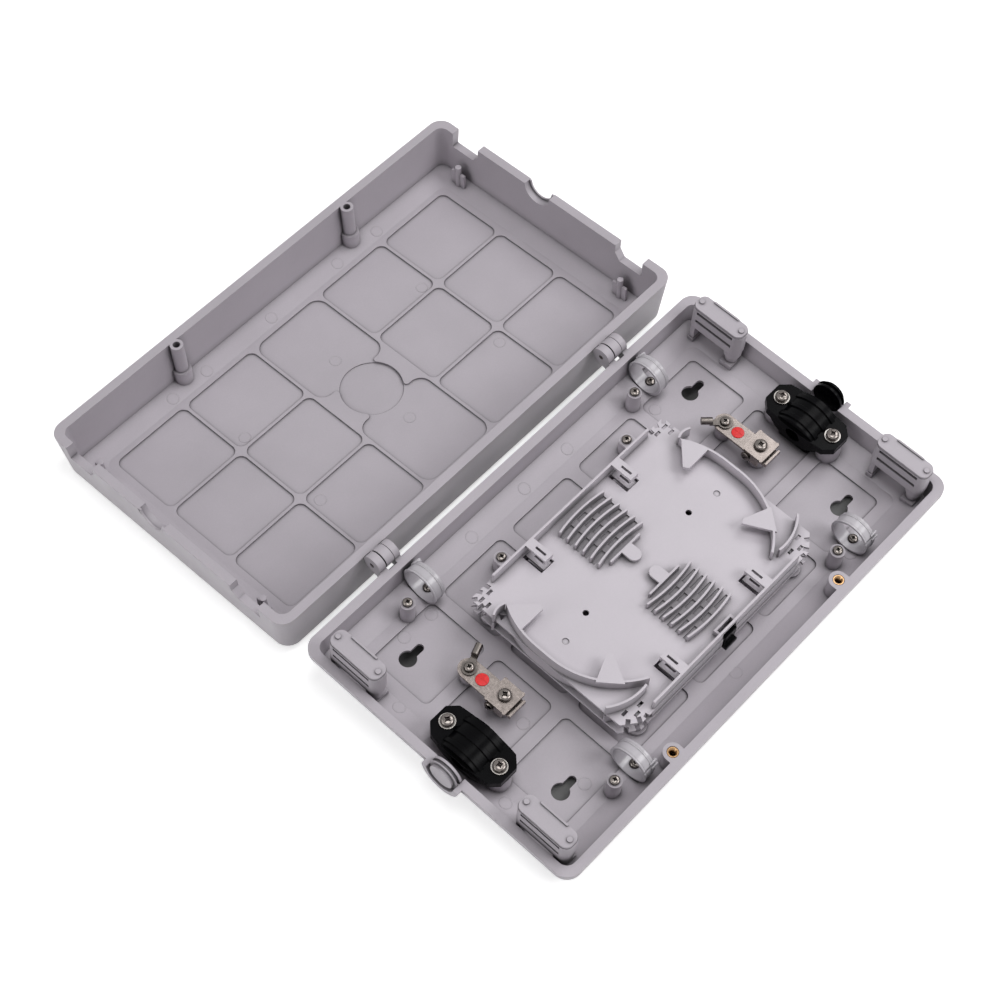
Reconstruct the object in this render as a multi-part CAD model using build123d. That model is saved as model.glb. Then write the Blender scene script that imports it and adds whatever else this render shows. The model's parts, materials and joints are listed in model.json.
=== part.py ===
from build123d import *
import os
from math import cos, radians, sin

# A fibre splice box that is screwed to a wall: a shallow base, and a deeper lid hinged along one long side.
# Origin: the middle of the base's back face. X runs along the hinge, Y toward it, Z out of the wall.
# The lid is modelled closed and then swung open, which is its place at rest.

# Casing
length = 320.0
width = 189.0
rim_radius = 9.0
rim_width = 5.5
base_height = 19.0
base_floor = 3.0
lid_height = 37.0
lid_top = 3.0
rim_gap = 0.3
flange_out = 3.0
flange_thick = 3.5
base_draft = 1.0
base_bevel = (9.0, 4.0)
lid_draft = 3.0
lid_bevel = (10.0, 6.0)
inner_draft = 1.5
slope_run = 12.0
base_slope_rise = 3.5
lid_slope_rise = 3.0

# Shallow pockets in the floor of both shells
pocket_count = (5, 3)
pocket_margin = (22.5, 21.6)
base_pocket_gap = 8.0
lid_pocket_gap = 1.8
pocket_depth = 1.0
base_pocket_radius = 4.0
lid_pocket_radius = 5.0
lid_middle_radius = 8.0
lid_circle_inset = 7.6
lid_circle_land = 5.0
lid_circle_blend = 0.1  # share of the circle's radius
lid_circle_step = 0.5

# Keyholes for the wall screws
keyhole_inset = (40.05, 45.45, 39.7)
keyhole_head = 5.0
keyhole_neck = 2.4
keyhole_run = 9.0

# Hinges
hinge_inset = (68.2, 65.0)
hinge_out = 6.7
hinge_up = 1.0
knuckle_radius = 6.0
pin_radius = 1.5
pin_clearance = 0.05
knuckle_gaps = (0.8, 0.3)
knuckle_near = 4.8
knuckle_mid = 5.6
knuckle_far = 4.1
relief_depth = 2.6
open_angle = 184.5

# Lid screws' seats
screw_inset = (90.5, 8.5)
insert_outer = 3.3
insert_bore = 1.65
insert_length = 10.0
seat_boss_radius = 5.5
post_tip_radius = 4.0
post_foot_radius = 5.6
post_step = 22.0
post_bore = 2.2

# Middle ports in the end walls, and the plugs in them
port_line = -9.0
port_rise = 0.3
port_radius = 9.5
collar_wall = 3.2
collar_out = 3.2
plug_clearance = 0.1
plug_thick = 2.4
plug_groove = 0.9
plug_core = 7.9
plug_face = (7.6, 3.4)
plug_brim = 0.6
lip_radius = plug_core + 0.05

# Corner cable entries
entry_inset = (12.5, 30.3, 26.4)
entry_size = (11.5, 35.4)
entry_top = 35.7
entry_underside = 17.6
entry_cap = 1.6
entry_slot = (2.4, 26.0)
entry_slot_heights = (33.2, 25.8)
entry_foot = 3.8
entry_peg_radius = 1.5
lid_notch_width = 21.0
lid_notch_depth = 11.0
presser_radius = 1.9
presser_clearance = 0.35

# Cable clamps
clamp_inset = 22.0
clamp_hole_pitch = 36.6
clamp_size = (25.0, 50.0)
clamp_thick = 5.0
clamp_seat = 15.6
clamp_arch = (12.4, 4.8)
clamp_rib = (2.6, 0.9)
clamp_corner = 5.2
skirt_thick = 2.0
skirt_face = 11.3
skirt_drop = 8.6
skirt_half = 17.0
cable_bore = 5.0
saddle_width = 22.0

# Earth clamps
earth_inset = 54.0
earth_screw_y = 23.6
earth_clamp_y = -1.7
earth_plate_top = 14.7
earth_plate_thick = 1.5
earth_plate_width = 12.4
earth_saddle_thick = 1.4
earth_saddle_gap = 2.4
pinch_shift = 3.4
pinch_drop = 4.6

# Guide rings and the screw pillars beside them
ring_beside_tray = (3.2, 24.4)
ring_inset = (18.7, 21.5)
ring_radius = 11.6
ring_wall = 1.2
ring_length = 14.0
ring_slit = 2.0
pillar_from_ring = (-19.6, -3.3, -1.4)
pillar_radius = 4.2
ring_seat_half = 8.5

# Splice trays
tray_margin = (81.0, 46.2, 29.8)
tray_floor = 1.5
tray_wall = 1.3
tray_wall_height = 8.0
tray_leg = 8.25
tray_seat = 1.0
bend_radius = 52.0
bend_flat = 5.0
bend_shift = 6.2
bend_edge = 0.2
comb_pitch = 5.6
comb_first = 18.9
comb_shift = 2.3
comb_room = 4.2
comb_half = 18.0
comb_height = 5.0
comb_rib = 1.2
comb_bow = 95.0
comb_recess = 0.8
tongue_inset = 44.0
tongue_size = (6.4, 14.0)
tongue_slot = (1.4, 7.5)
tongue_window = 3.0
ear_inset = (34.0, 20.0)
ear_reach = 8.2
ear_radius = 4.2

# Cross-head screws: shank radius, head radius, head height
clamp_screw = (2.0, 3.7, 2.5)
small_screw = (1.5, 2.8, 1.9)
washer_size = (4.6, 0.9)
screw_bite = 6.0
bite_clearance = 0.05
seat_clearance = 0.02
side_clearance = 0.3

rim_z = base_height
floor_z = base_floor
pocket_z = base_floor - pocket_depth
axis_y = width / 2 + hinge_out
axis_z = rim_z + hinge_up
ends = (-1, 1)
pocket_pitch = ((length - 2 * pocket_margin[0]) / pocket_count[0],
                (width - 2 * pocket_margin[1]) / pocket_count[1])
lid_circle_radius = (pocket_pitch[0] - lid_pocket_gap) / 2 - lid_circle_inset
screw_x = length / 2 - screw_inset[0]
screw_line = screw_inset[1] - width / 2
clamp_x = length / 2 - clamp_inset
earth_x = length / 2 - earth_inset
entry_x = length / 2 - entry_inset[0]
entry_rows = (width / 2 - entry_inset[1], entry_inset[2] - width / 2)
plug_radius = port_radius - plug_clearance

# The trays' places follow from their margins inside the casing
tray_half = (length / 2 - tray_margin[0], (width - tray_margin[1] - tray_margin[2]) / 2)
tray_line = (tray_margin[2] - tray_margin[1]) / 2
tray_near = tray_line - tray_half[1]
tray_far = tray_line + tray_half[1]
bend_line = tray_line + bend_shift
bend_reach = tray_half[0] - bend_edge
comb_mirror = tray_line + comb_shift
comb_ribs = int((tray_half[1] - comb_shift - comb_first - comb_room) / comb_pitch) + 1
ear_x = (ear_inset[0] - tray_half[0], tray_half[0] - ear_inset[1])
ear_line = tray_far + ear_reach
ring_x = (-(tray_half[0] + ring_beside_tray[0]), tray_half[0] + ring_beside_tray[1])
ring_rows = (width / 2 - ring_inset[0], ring_inset[1] - width / 2)


def rounded_box(size_x, size_y, z0, z1, radius, x=0.0, y=0.0):
    """A plate with rounded upright corners between two heights."""
    outline = Pos(x, y, z0) * RectangleRounded(size_x, size_y, radius)
    return extrude(outline, amount=z1 - z0, dir=(0, 0, 1))


def block(x0, x1, y0, y1, z0, z1):
    """A plain box given by its limits."""
    return Pos((x0 + x1) / 2, (y0 + y1) / 2, (z0 + z1) / 2) * Box(x1 - x0, y1 - y0, z1 - z0)


def upright(radius, x, y, z0, z1):
    """An upright cylinder between two heights."""
    return Pos(x, y, (z0 + z1) / 2) * Cylinder(radius, z1 - z0)


def along_x(radius, x0, x1, y, z):
    """A cylinder whose axis runs along the hinge."""
    return Pos((x0 + x1) / 2, y, z) * Rot(0, 90, 0) * Cylinder(radius, x1 - x0)


def frustum(inset_low, z_low, inset_high, z_high, radius):
    """A tapered slab: the casing's outline drawn in by one inset below and another above."""
    low = Pos(0, 0, z_low) * RectangleRounded(length - 2 * inset_low, width - 2 * inset_low, radius)
    high = Pos(0, 0, z_high) * RectangleRounded(length - 2 * inset_high, width - 2 * inset_high, radius)
    return loft([low.face(), high.face()], ruled=True)


def tub(height, floor, overhang, draft, bevel, slope_rise):
    """One shell as a tub, back face at z = 0 and rim plane at z = height."""
    run, rise = bevel
    foot = overhang + draft
    outer = frustum(foot + run, 0, foot, rise, rim_radius)
    outer += frustum(foot, rise, overhang, height, rim_radius)
    if overhang:
        outer += frustum(0, height - flange_thick, 0, height, rim_radius)
    wall_foot = rim_width + inner_draft
    inner_radius = rim_radius - rim_width + 2.0
    cavity = frustum(wall_foot + slope_run, floor, wall_foot, floor + slope_rise, inner_radius)
    cavity += frustum(wall_foot, floor + slope_rise, rim_width, height, inner_radius)
    return outer - cavity


def pocket_centres():
    """Columns and rows of the pocket grid, as (column, row, x, y)."""
    px, py = pocket_pitch
    columns, rows = (range(-(count // 2), count // 2 + 1) for count in pocket_count)
    return [(i, j, i * px, j * py) for i in columns for j in rows]


def keyholes():
    """Keyhole centres: the round ends, with the necks running along +X."""
    left, right, side = keyhole_inset
    return [(x, sy * (width / 2 - side)) for x in (left - length / 2, length / 2 - right) for sy in ends]


def hinge_centres():
    """The middles of the two hinges, left first."""
    return [hinge_inset[0] - length / 2, length / 2 - hinge_inset[1]]


def knuckle_spans(middle):
    """Near, mid and far knuckle limits along X for the hinge centred at middle."""
    total = knuckle_near + knuckle_mid + knuckle_far + sum(knuckle_gaps)
    x0 = middle - total / 2
    x1 = x0 + knuckle_near
    x2 = x1 + knuckle_gaps[0]
    x3 = x2 + knuckle_mid
    x4 = x3 + knuckle_gaps[1]
    return (x0, x1), (x2, x3), (x4, x4 + knuckle_far)


def knuckle(x0, x1, up):
    """A hinge knuckle with its web into a shell wall. up is -1 for the base and 1 for the lid."""
    root = width / 2 - flange_out
    start = rim_z if up < 0 else rim_z + rim_gap
    reach = start + up * 9.0
    web = Plane.YZ.offset(x0) * Polygon(
        (root, start), (axis_y - knuckle_radius + 1.6, start),
        (axis_y, axis_z - up * knuckle_radius * 0.2), (axis_y, axis_z + up * knuckle_radius),
        (axis_y - 4.0, start + up * 6.6), (root, reach), align=None)
    body = extrude(web, amount=x1 - x0, dir=(1, 0, 0))
    body += along_x(knuckle_radius, x0, x1, axis_y, axis_z)
    return body


def pin_hole(x0, x1, clearance):
    return along_x(pin_radius + clearance, x0, x1, axis_y, axis_z)


def screw(sizes, x, y, seat, bite):
    """A cross-head pan screw standing on a seat: head above it, shank below."""
    shank, head, tall = sizes
    outline = Polyline((0, seat - bite), (shank, seat - bite), (shank, seat), (head, seat),
                       (head, seat + tall * 0.45))
    crown = ThreePointArc((head, seat + tall * 0.45), (head * 0.72, seat + tall * 0.86), (0, seat + tall))
    close = Line((0, seat + tall), (0, seat - bite))
    turned = revolve(Plane.XZ * make_face(outline + crown + close), axis=Axis.Z)
    slot = head * 0.26
    for turn in (45, 135):
        turned -= Pos(0, 0, seat + tall) * Rot(0, 0, turn) * Box(head * 1.15, slot, tall * 1.1)
    return Pos(x, y, 0) * turned


def screw_hole(sizes, x, y, seat, bite):
    return upright(sizes[0] + bite_clearance, x, y, seat - bite - 0.2, seat + 0.1)


def swung(shape):
    """Swings a piece of the lid from closed to its open place at rest."""
    return Pos(0, axis_y, axis_z) * Rot(-open_angle, 0, 0) * Pos(0, -axis_y, -axis_z) * shape


# Places that several pieces share
clamp_rows = [port_line - clamp_hole_pitch / 2, port_line + clamp_hole_pitch / 2]
pillar_top = rim_z - 1.0
ring_places = [(x, y) for x in ring_x for y in ring_rows]
pillar_places = [(x + pillar_from_ring[0], y + dy) for x in ring_x
                 for y, dy in zip(ring_rows, pillar_from_ring[1:])]
leg_places = [(side * (tray_half[0] - inset), y) for side in ends
              for inset, y in ((8.0, tray_far - 8.5), (14.0, tray_near + 5.5))]
pad_z = floor_z + base_slope_rise + 0.4
low_tray_z = floor_z + tray_seat + tray_leg + tray_floor
top_tray_z = low_tray_z + tray_leg + tray_floor
ring_z = floor_z + ring_radius
ring_seat = floor_z + ring_wall - 0.4


def base_shell():
    """The base: tub, rim, pockets, keyholes, ports, seats and the outer knuckles."""
    body = tub(base_height, base_floor, flange_out, base_draft, base_bevel, base_slope_rise)
    px, py = pocket_pitch
    body -= [rounded_box(px - base_pocket_gap, py - base_pocket_gap, pocket_z, floor_z + 0.1,
                         base_pocket_radius, x, y) for i, j, x, y in pocket_centres()]
    # Each guide ring lies on a flat seat that is let into the slope beside it.
    half = ring_length / 2 + 0.5
    body -= [block(x - half, x + half, y - ring_seat_half, y + ring_seat_half, floor_z,
                   floor_z + base_slope_rise + 2) for x, y in ring_places]
    added, cut = [], []
    for x, y in keyholes():
        cut.append(upright(keyhole_head, x, y, -1, floor_z + 1))
        cut.append(upright(keyhole_neck, x + keyhole_run, y, -1, floor_z + 1))
        cut.append(block(x, x + keyhole_run, y - keyhole_neck, y + keyhole_neck, -1, floor_z + 1))
    for middle in hinge_centres():
        near, mid, far = knuckle_spans(middle)
        added += [knuckle(*near, -1), knuckle(*far, -1)]
        cut.append(block(near[1], mid[1], width / 2 - 1.4, width / 2 + 1, rim_z - relief_depth, rim_z + 1))
        cut.append(pin_hole(near[0] - 1, far[1] - 1, pin_clearance))
    for side in ends:
        added.append(port_collar(side) + port_lip(side, 0, rim_z, lip_radius))
        added += clamp_seats(side) + earth_pillars(side)
        for y in entry_rows:
            added += entry_pads(side, y)
    for x in (-screw_x, screw_x):
        added.append(upright(seat_boss_radius, x, screw_line, floor_z, rim_z))
        added.append(block(x - seat_boss_radius, x + seat_boss_radius, -width / 2 + rim_width - 1.5,
                           screw_line, floor_z, rim_z))
        cut.append(upright(insert_outer, x, screw_line, rim_z - insert_length, rim_z + 1))
    for x, y in pillar_places:
        added.append(upright(pillar_radius, x, y, pocket_z - 0.2, pillar_top))
        cut.append(screw_hole(small_screw, x, y, pillar_top, screw_bite))
    for x, y in ring_places:
        added += [block(x - ring_length / 2 + 1, x + ring_length / 2 - 1, y + dy - 1, y + dy + 1,
                        pocket_z - 0.2, floor_z + 0.6) for dy in (-5, 5)]
        added.append(upright(3.4, x, y, pocket_z - 0.2, floor_z))
        cut.append(screw_hole(small_screw, x, y, floor_z, 2.6))
    for x, y in leg_places:
        added.append(upright(5.5, x, y, pocket_z - 0.2, floor_z + tray_seat))
    for x in ear_x:
        added.append(upright(ear_radius, x, ear_line, pocket_z - 0.2, low_tray_z - tray_floor))
        cut.append(screw_hole(small_screw, x, ear_line, low_tray_z, screw_bite))
    return body - [port_bore(side, rim_z + 1, port_radius) for side in ends] + added - cut


def port_bore(side, top, radius):
    """The round way through an end wall at the middle port, up to a height."""
    x0, x1 = sorted((side * (length / 2 - 14.0), side * (length / 2 + 8.0)))
    bore = along_x(radius, x0, x1, port_line, rim_z + port_rise)
    return bore & block(x0, x1, port_line - 40, port_line + 40, 0, top)


def port_collar(side):
    """The half-round collar that carries the plug outside the end wall."""
    x0, x1 = sorted((side * (length / 2 - rim_width), side * (length / 2 + collar_out)))
    collar = along_x(port_radius + collar_wall, x0, x1, port_line, rim_z + port_rise)
    collar -= along_x(port_radius, x0 - 1, x1 + 1, port_line, rim_z + port_rise)
    return collar & block(x0, x1, port_line - 40, port_line + 40, 2, rim_z)


def clamp_seats(side):
    """Two bosses that carry a cable clamp, with holes for its screws."""
    return [upright(7.0, side * clamp_x, y, pocket_z - 0.2, clamp_seat) -
            screw_hole(clamp_screw, side * clamp_x, y, clamp_seat, screw_bite + 1.6) for y in clamp_rows]


def earth_pillars(side):
    """The two bosses under an earth plate."""
    x = side * earth_x
    seat = earth_plate_top - earth_plate_thick
    thin = upright(4.6, x, earth_screw_y, pocket_z - 0.2, seat)
    thick = upright(5.0, x, earth_clamp_y, pocket_z - 0.2, seat)
    return [thin - screw_hole(small_screw, x, earth_screw_y, seat, screw_bite + 1),
            thick - screw_hole(clamp_screw, x, earth_clamp_y, seat, screw_bite + 2.8)]


def entry_pads(side, y):
    """Two flat pads on the sloped floor, under the column and the leg of a cable entry."""
    sx, sy = entry_size
    x0, x1 = sorted((side * (entry_x - sx / 2), side * (entry_x + 3.0)))
    column = y - sy / 2 + 5.4
    return [block(x0, x1, column - entry_foot - 0.2, column + entry_foot + 0.2, floor_z - 0.4, pad_z),
            block(x0, x1, y + sy / 2 - 5.6, y + sy / 2 - 1.8, floor_z - 0.4, pad_z)]


def cable_entry(x, y):
    """A corner cable entry: a slotted block on a thin leg and a stepped half-round column."""
    sx, sy = entry_size
    y0, y1 = y - sy / 2, y + sy / 2
    long, tall = entry_slot[1] / 2, entry_slot[0]
    body = rounded_box(sx, sy, entry_underside, entry_top - entry_cap, 4.6, x, y) + [
        upright(entry_foot, x, y0 + 5.4, pad_z, entry_underside),
        block(x - sx / 2 + 0.6, x + sx / 2 - 0.6, y1 - 5.2, y1 - 2.2, pad_z, entry_underside + 0.1),
        rounded_box(sx - 0.8, sy - 0.8, entry_top - entry_cap - 0.1, entry_top, 4.2, x, y),
        block(x + sx / 2 - 1.5, x + sx / 2 - 0.4, y - 9, y + 9, entry_top - 0.1, entry_top + 0.8),
        upright(entry_foot + 1.4, x, y0 + 5.4, entry_underside - 5.0, entry_underside + 0.1),
        upright(entry_peg_radius, x, y0 + 3.2, entry_top - 0.1, entry_top + 0.9),
        upright(entry_peg_radius, x, y1 - 3.2, entry_top - 0.1, entry_top + 0.9)]
    faces = ((x - sx, x - sx / 2 + 4.4), (x + sx / 2 - 4.4, x + sx))
    return body - [block(x0, x1, y - long, y + long, z - tall, z)
                   for x0, x1 in faces for z in entry_slot_heights]


def port_plug(side):
    """A round plug in the middle port, with a groove that the walls of both shells enter."""
    middle = length / 2 - 1.0
    face_radius, face_out = plug_face
    plug = None
    for radius, inner, outer in ((plug_radius, -plug_thick, -plug_groove),
                                 (plug_core, -plug_groove, plug_groove),
                                 (plug_radius, plug_groove, plug_groove + plug_brim),
                                 (face_radius, plug_groove, face_out)):
        disc = along_x(radius, *sorted((side * (middle + inner), side * (middle + outer))), port_line,
                       rim_z + port_rise)
        plug = disc if plug is None else plug + disc
    return plug


def clamp_outline(grow=0.0):
    """The clamp's plan: a long plate with its corners cut and its long sides bellied."""
    sx, sy = clamp_size[0] + 2 * grow, clamp_size[1] + 2 * grow
    c = clamp_corner
    half_x, half_y = sx / 2, sy / 2
    right = ThreePointArc((half_x - 1.4, -half_y + c), (half_x, 0), (half_x - 1.4, half_y - c))
    top = Polyline((half_x - 1.4, half_y - c), (half_x - 1.4 - c, half_y), (-half_x + 1.4 + c, half_y),
                   (-half_x + 1.4, half_y - c))
    left = ThreePointArc((-half_x + 1.4, half_y - c), (-half_x, 0), (-half_x + 1.4, -half_y + c))
    low = Polyline((-half_x + 1.4, -half_y + c), (-half_x + 1.4 + c, -half_y), (half_x - 1.4 - c, -half_y),
                   (half_x - 1.4, -half_y + c))
    return make_face(right + top + left + low)


def cable_clamp(side):
    """The upper half of a cable clamp: flat ends, a low ribbed arch between them and two hanging skirts."""
    x = side * clamp_x
    z0, z1 = clamp_seat, clamp_seat + clamp_thick
    body = extrude(Pos(x, port_line, z0) * clamp_outline(), amount=clamp_thick, dir=(0, 0, 1))
    chord, rise = clamp_arch
    radius = (chord ** 2 + rise ** 2) / (2 * rise)
    rib_wide, rib_high = clamp_rib
    arch = along_x(radius, x - skirt_face, x + skirt_face, port_line, z1 + rise - radius)
    for rib in (-7.6, 0.0, 7.6):
        arch += along_x(radius + rib_high, x + rib - rib_wide / 2, x + rib + rib_wide / 2, port_line,
                        z1 + rise - radius)
    body += arch & block(x - 20, x + 20, port_line - chord - 0.8, port_line + chord + 0.8, z0, z1 + 20)
    hang = make_face(Line((-skirt_half, 0), (skirt_half, 0)) +
                     ThreePointArc((skirt_half, 0), (0, -skirt_drop), (-skirt_half, 0)))
    for start in (-skirt_face, skirt_face - skirt_thick):
        lying = Plane((x + start, port_line, z0 + 0.1), x_dir=(0, 1, 0), z_dir=(1, 0, 0)) * hang
        body += extrude(lying, amount=skirt_thick, dir=(1, 0, 0))
    body -= along_x(cable_bore, x - 30, x + 30, port_line, z0 - 0.5)
    for y in clamp_rows:
        body -= upright(clamp_screw[0] + 0.2, x, y, z0 - 1, z1 + 1)
    return body


def clamp_saddle(side):
    """The lower half of a cable clamp: a block between the skirts with a round trough."""
    x = side * clamp_x
    top = clamp_seat - 0.8
    wide = 2 * (skirt_face - skirt_thick - side_clearance)
    body = rounded_box(wide, saddle_width, floor_z, top, 2.5, x, port_line)
    reach = length / 2 - rim_width - inner_draft - slope_run
    x_low, x_high = sorted((side * (clamp_x - 30), side * reach))
    body &= block(x_low, x_high, port_line - 20, port_line + 20, 0, rim_z) + \
        block(-length / 2, length / 2, port_line - 20, port_line + 20, floor_z + base_slope_rise + 0.1,
              rim_z)
    body -= along_x(cable_bore, x - 30, x + 30, port_line, clamp_seat - 0.5)
    return body


def earth_plate(side):
    """A nickelled plate, round at one end, that joins the earth screw and the strength-member clamp."""
    x = side * earth_x
    z0 = earth_plate_top - earth_plate_thick
    half = earth_plate_width / 2
    plate = upright(half, x, earth_screw_y, z0, earth_plate_top)
    plate += block(x - half, x + half, earth_clamp_y - 9.5, earth_screw_y, z0, earth_plate_top)
    lip = block(x - half, x + half, earth_clamp_y - 9.5, earth_clamp_y - 8.3, earth_plate_top - 0.1,
                earth_plate_top + 1.6)
    plate += lip
    plate -= upright(small_screw[0] + 0.1, x, earth_screw_y, z0 - 1, earth_plate_top + 1)
    plate -= upright(clamp_screw[0] + 0.1, x, earth_clamp_y, z0 - 1, earth_plate_top + 1)
    return plate


def earth_saddle(side):
    """The square clamp plate over the strength member, with its side flaps and bent corner hooks."""
    x = side * earth_x
    z0 = earth_plate_top + earth_saddle_gap
    z1 = z0 + earth_saddle_thick
    half = earth_plate_width / 2 + 0.5
    low, high = earth_clamp_y - 7.2, earth_clamp_y + 7.2
    body = block(x - half, x + half, low, high, z0, z1)
    for flap in ends:
        x0, x1 = sorted((x + flap * half, x + flap * (half + earth_saddle_thick)))
        body += block(x0, x1, low + 2.2, high - 2.2, z1 - 7.5, z1)
        for y in (low + 1.1, high - 1.1):
            hook = upright(1.1, x + flap * (half + 0.7), y, z1 - 1.6, z1)
            x0, x1 = sorted((x + flap * (half - 0.6), x + flap * (half + 0.7)))
            body += hook + block(x0, x1, y - 1.1, y + 1.1, z1 - 1.6, z1)
    body += block(x - 3, x + 3, earth_clamp_y - 5, earth_clamp_y + 5, earth_plate_top + 0.02, z0 + 0.1)
    body -= upright(clamp_screw[0] + 0.1, x, earth_clamp_y, z0 - 4, z1 + 1)
    body -= along_x(small_screw[0] + bite_clearance, x - half - 2, x - half + 0.5,
                    earth_clamp_y + pinch_shift, z1 - pinch_drop)
    return body


def side_screw(side):
    """The screw that pinches the strength member from the side, in the saddle's outer flap."""
    x = side * earth_x - earth_plate_width / 2 - 0.5 - earth_saddle_thick
    z = earth_plate_top + earth_saddle_gap + earth_saddle_thick - pinch_drop
    lying = Rot(0, -90, 0) * screw(small_screw, 0, 0, 0, earth_saddle_thick)
    return Pos(x, earth_clamp_y + pinch_shift, z) * lying


def crimp_lug(side):
    """A ring lug under the earth screw, with its crimp barrel standing off to one side."""
    x = side * earth_x
    turn = 20 if side < 0 else 135
    z0 = earth_plate_top + seat_clearance
    lug = upright(4.2, 0, 0, z0, z0 + 0.9)
    lug += block(0, 9.0, -1.9, 1.9, z0, z0 + 0.9)
    barrel = along_x(2.2, 7.5, 14.0, 0, z0 + 2.2)
    barrel -= along_x(1.4, 8.5, 15.0, 0, z0 + 2.2)
    lug += barrel
    lug -= upright(small_screw[0] + 0.1, 0, 0, z0 - 1, z0 + 2)
    return Pos(x, earth_screw_y, 0) * Rot(0, 0, turn) * lug


def guide_ring(x, y):
    """A short tube for the fibres, slit toward the nearer long wall, with a screw hole in its foot."""
    x0, x1 = x - ring_length / 2, x + ring_length / 2
    away = 1 if y > 0 else -1
    ring = along_x(ring_radius, x0, x1, y, ring_z)
    flange = along_x(ring_radius + 0.4, x0, x0 + 1.2, y, ring_z)
    ring += flange & block(x0, x1, y - 20, y + 20, floor_z + 4, 60)
    ring -= along_x(ring_radius - ring_wall, x0 - 1, x1 + 1, y, ring_z)
    slit = block(x0 - 1, x1 + 1, -ring_slit / 2, ring_slit / 2, ring_radius - 4, ring_radius + 4)
    ring -= Pos(0, y, ring_z) * Rot(-away * 45, 0, 0) * slit
    ring -= upright(small_screw[0] + 0.1, x, y, floor_z - 1, floor_z + ring_wall + 1)
    ring -= upright(small_screw[1] + 0.2, x, y, ring_seat, floor_z + ring_wall + 1)
    return ring


def bend_band(radius):
    """Plan of the stretched ring in which the fibres turn at one end of a tray."""
    middle = bend_reach - bend_radius
    plan = Pos(middle, bend_line + bend_flat) * Circle(radius)
    plan += Pos(middle, bend_line - bend_flat) * Circle(radius)
    plan += Pos(middle, bend_line) * Rectangle(2 * radius, 2 * bend_flat)
    return plan


def wall_strip(points, thick):
    """Plan of a thin curved wall through three points."""
    arc = ThreePointArc(*points)
    return trace(arc, thick)


def area(x0, x1, y0, y1):
    """A plain rectangle given by its limits, for cutting plans."""
    return Pos((x0 + x1) / 2, (y0 + y1) / 2) * Rectangle(x1 - x0, y1 - y0)


def tray_outline():
    """Plan of a tray's floor: a rectangle with cut near corners and ragged break-off edges."""
    half_x = tray_half[0]
    plan = area(-half_x, half_x, tray_near, tray_far)
    for side in ends:
        corner = ((side * (half_x + 1), tray_near + 8.0), (side * (half_x - 11), tray_near - 1),
                  (side * (half_x + 1), tray_near - 1))
        plan -= make_face(Polyline(*corner, close=True))
        # Each notch is an inset from the end, a height and a turn.
        for inset, y, turn in ((11.6, tray_far - 0.4, 8), (6.0, tray_far + 0.2, 30),
                               (0.6, tray_far - 1.2, 48), (-0.2, tray_far - 7.2, 82),
                               (9.0, tray_near + 1.3, -30), (14.0, tray_near - 0.5, 12),
                               (3.6, tray_near + 4.9, -52)):
            plan -= Pos(side * (half_x - inset), y) * Rot(0, 0, side * -turn) * Rectangle(2.6, 5.2)
    return plan


def bend_walls():
    """Plan of the walls round the right-hand bend, with the two short curved walls at the entries."""
    half_x = tray_half[0]
    band = bend_band(bend_radius) - bend_band(bend_radius - tray_wall)
    walls = band & (area(half_x - 28, half_x + 32, bend_line - 52.5, bend_line + 33.5) -
                    area(half_x - 30, half_x - 8, bend_line + 22, bend_line + 62))
    walls += wall_strip(((half_x + 0.5, bend_line - 45.2), (half_x - 9.5, bend_line - 50.6),
                         (half_x - 24, bend_line - 52)), tray_wall)
    walls += wall_strip(((half_x - 7.8, bend_line + 32.9), (half_x - 3.4, bend_line + 33.9),
                         (half_x + 1.5, bend_line + 32.4)), tray_wall)
    # The outer faces of the bends stand proud of the straight floor edge, so the floor follows them there.
    foot = band & area(half_x - 1, half_x + 13, bend_line - 20, bend_line + 20)
    return walls, foot


def bend_tabs():
    """Plan of the two flat tabs that keep the fibres down in the right-hand bend."""
    half_x = tray_half[0]
    far = [(half_x - inset, bend_line + rise)
           for inset, rise in ((20.8, 19.0), (7.5, 31.5), (1.4, 16.2), (19.0, 16.0))]
    near = [(half_x - inset, bend_line - drop)
            for inset, drop in ((25.6, 27.0), (23.0, 25.4), (6.5, 32.0), (16.4, 44.0))]
    return make_face(Polyline(*far, close=True)) + make_face(Polyline(*near, close=True))


def tongue(x, wall_y, inward, z, top):
    """A slotted tongue from a long wall, and the window in the floor that it stands over."""
    (wide, long), (slot_wide, slot_long) = tongue_size, tongue_slot
    tip = wall_y + inward * long
    body = block(x - wide / 2, x + wide / 2, *sorted((wall_y - inward * 0.4, tip)), top - 1.5, top)
    body += block(x - wide / 2, x + wide / 2, *sorted((tip - inward * 1.2, tip)), top - 3.6, top)
    slot = sorted((tip - inward * (slot_long + 2), tip - inward * 2.4))
    body -= block(x - slot_wide / 2, x + slot_wide / 2, *slot, top - 5, top + 1)
    window = block(x - wide / 2 - tongue_window, x + wide / 2 + 0.8,
                   *sorted((wall_y + inward * 0.8, tip + inward * 0.8)), z - 3, z + 1)
    return body, window


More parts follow.
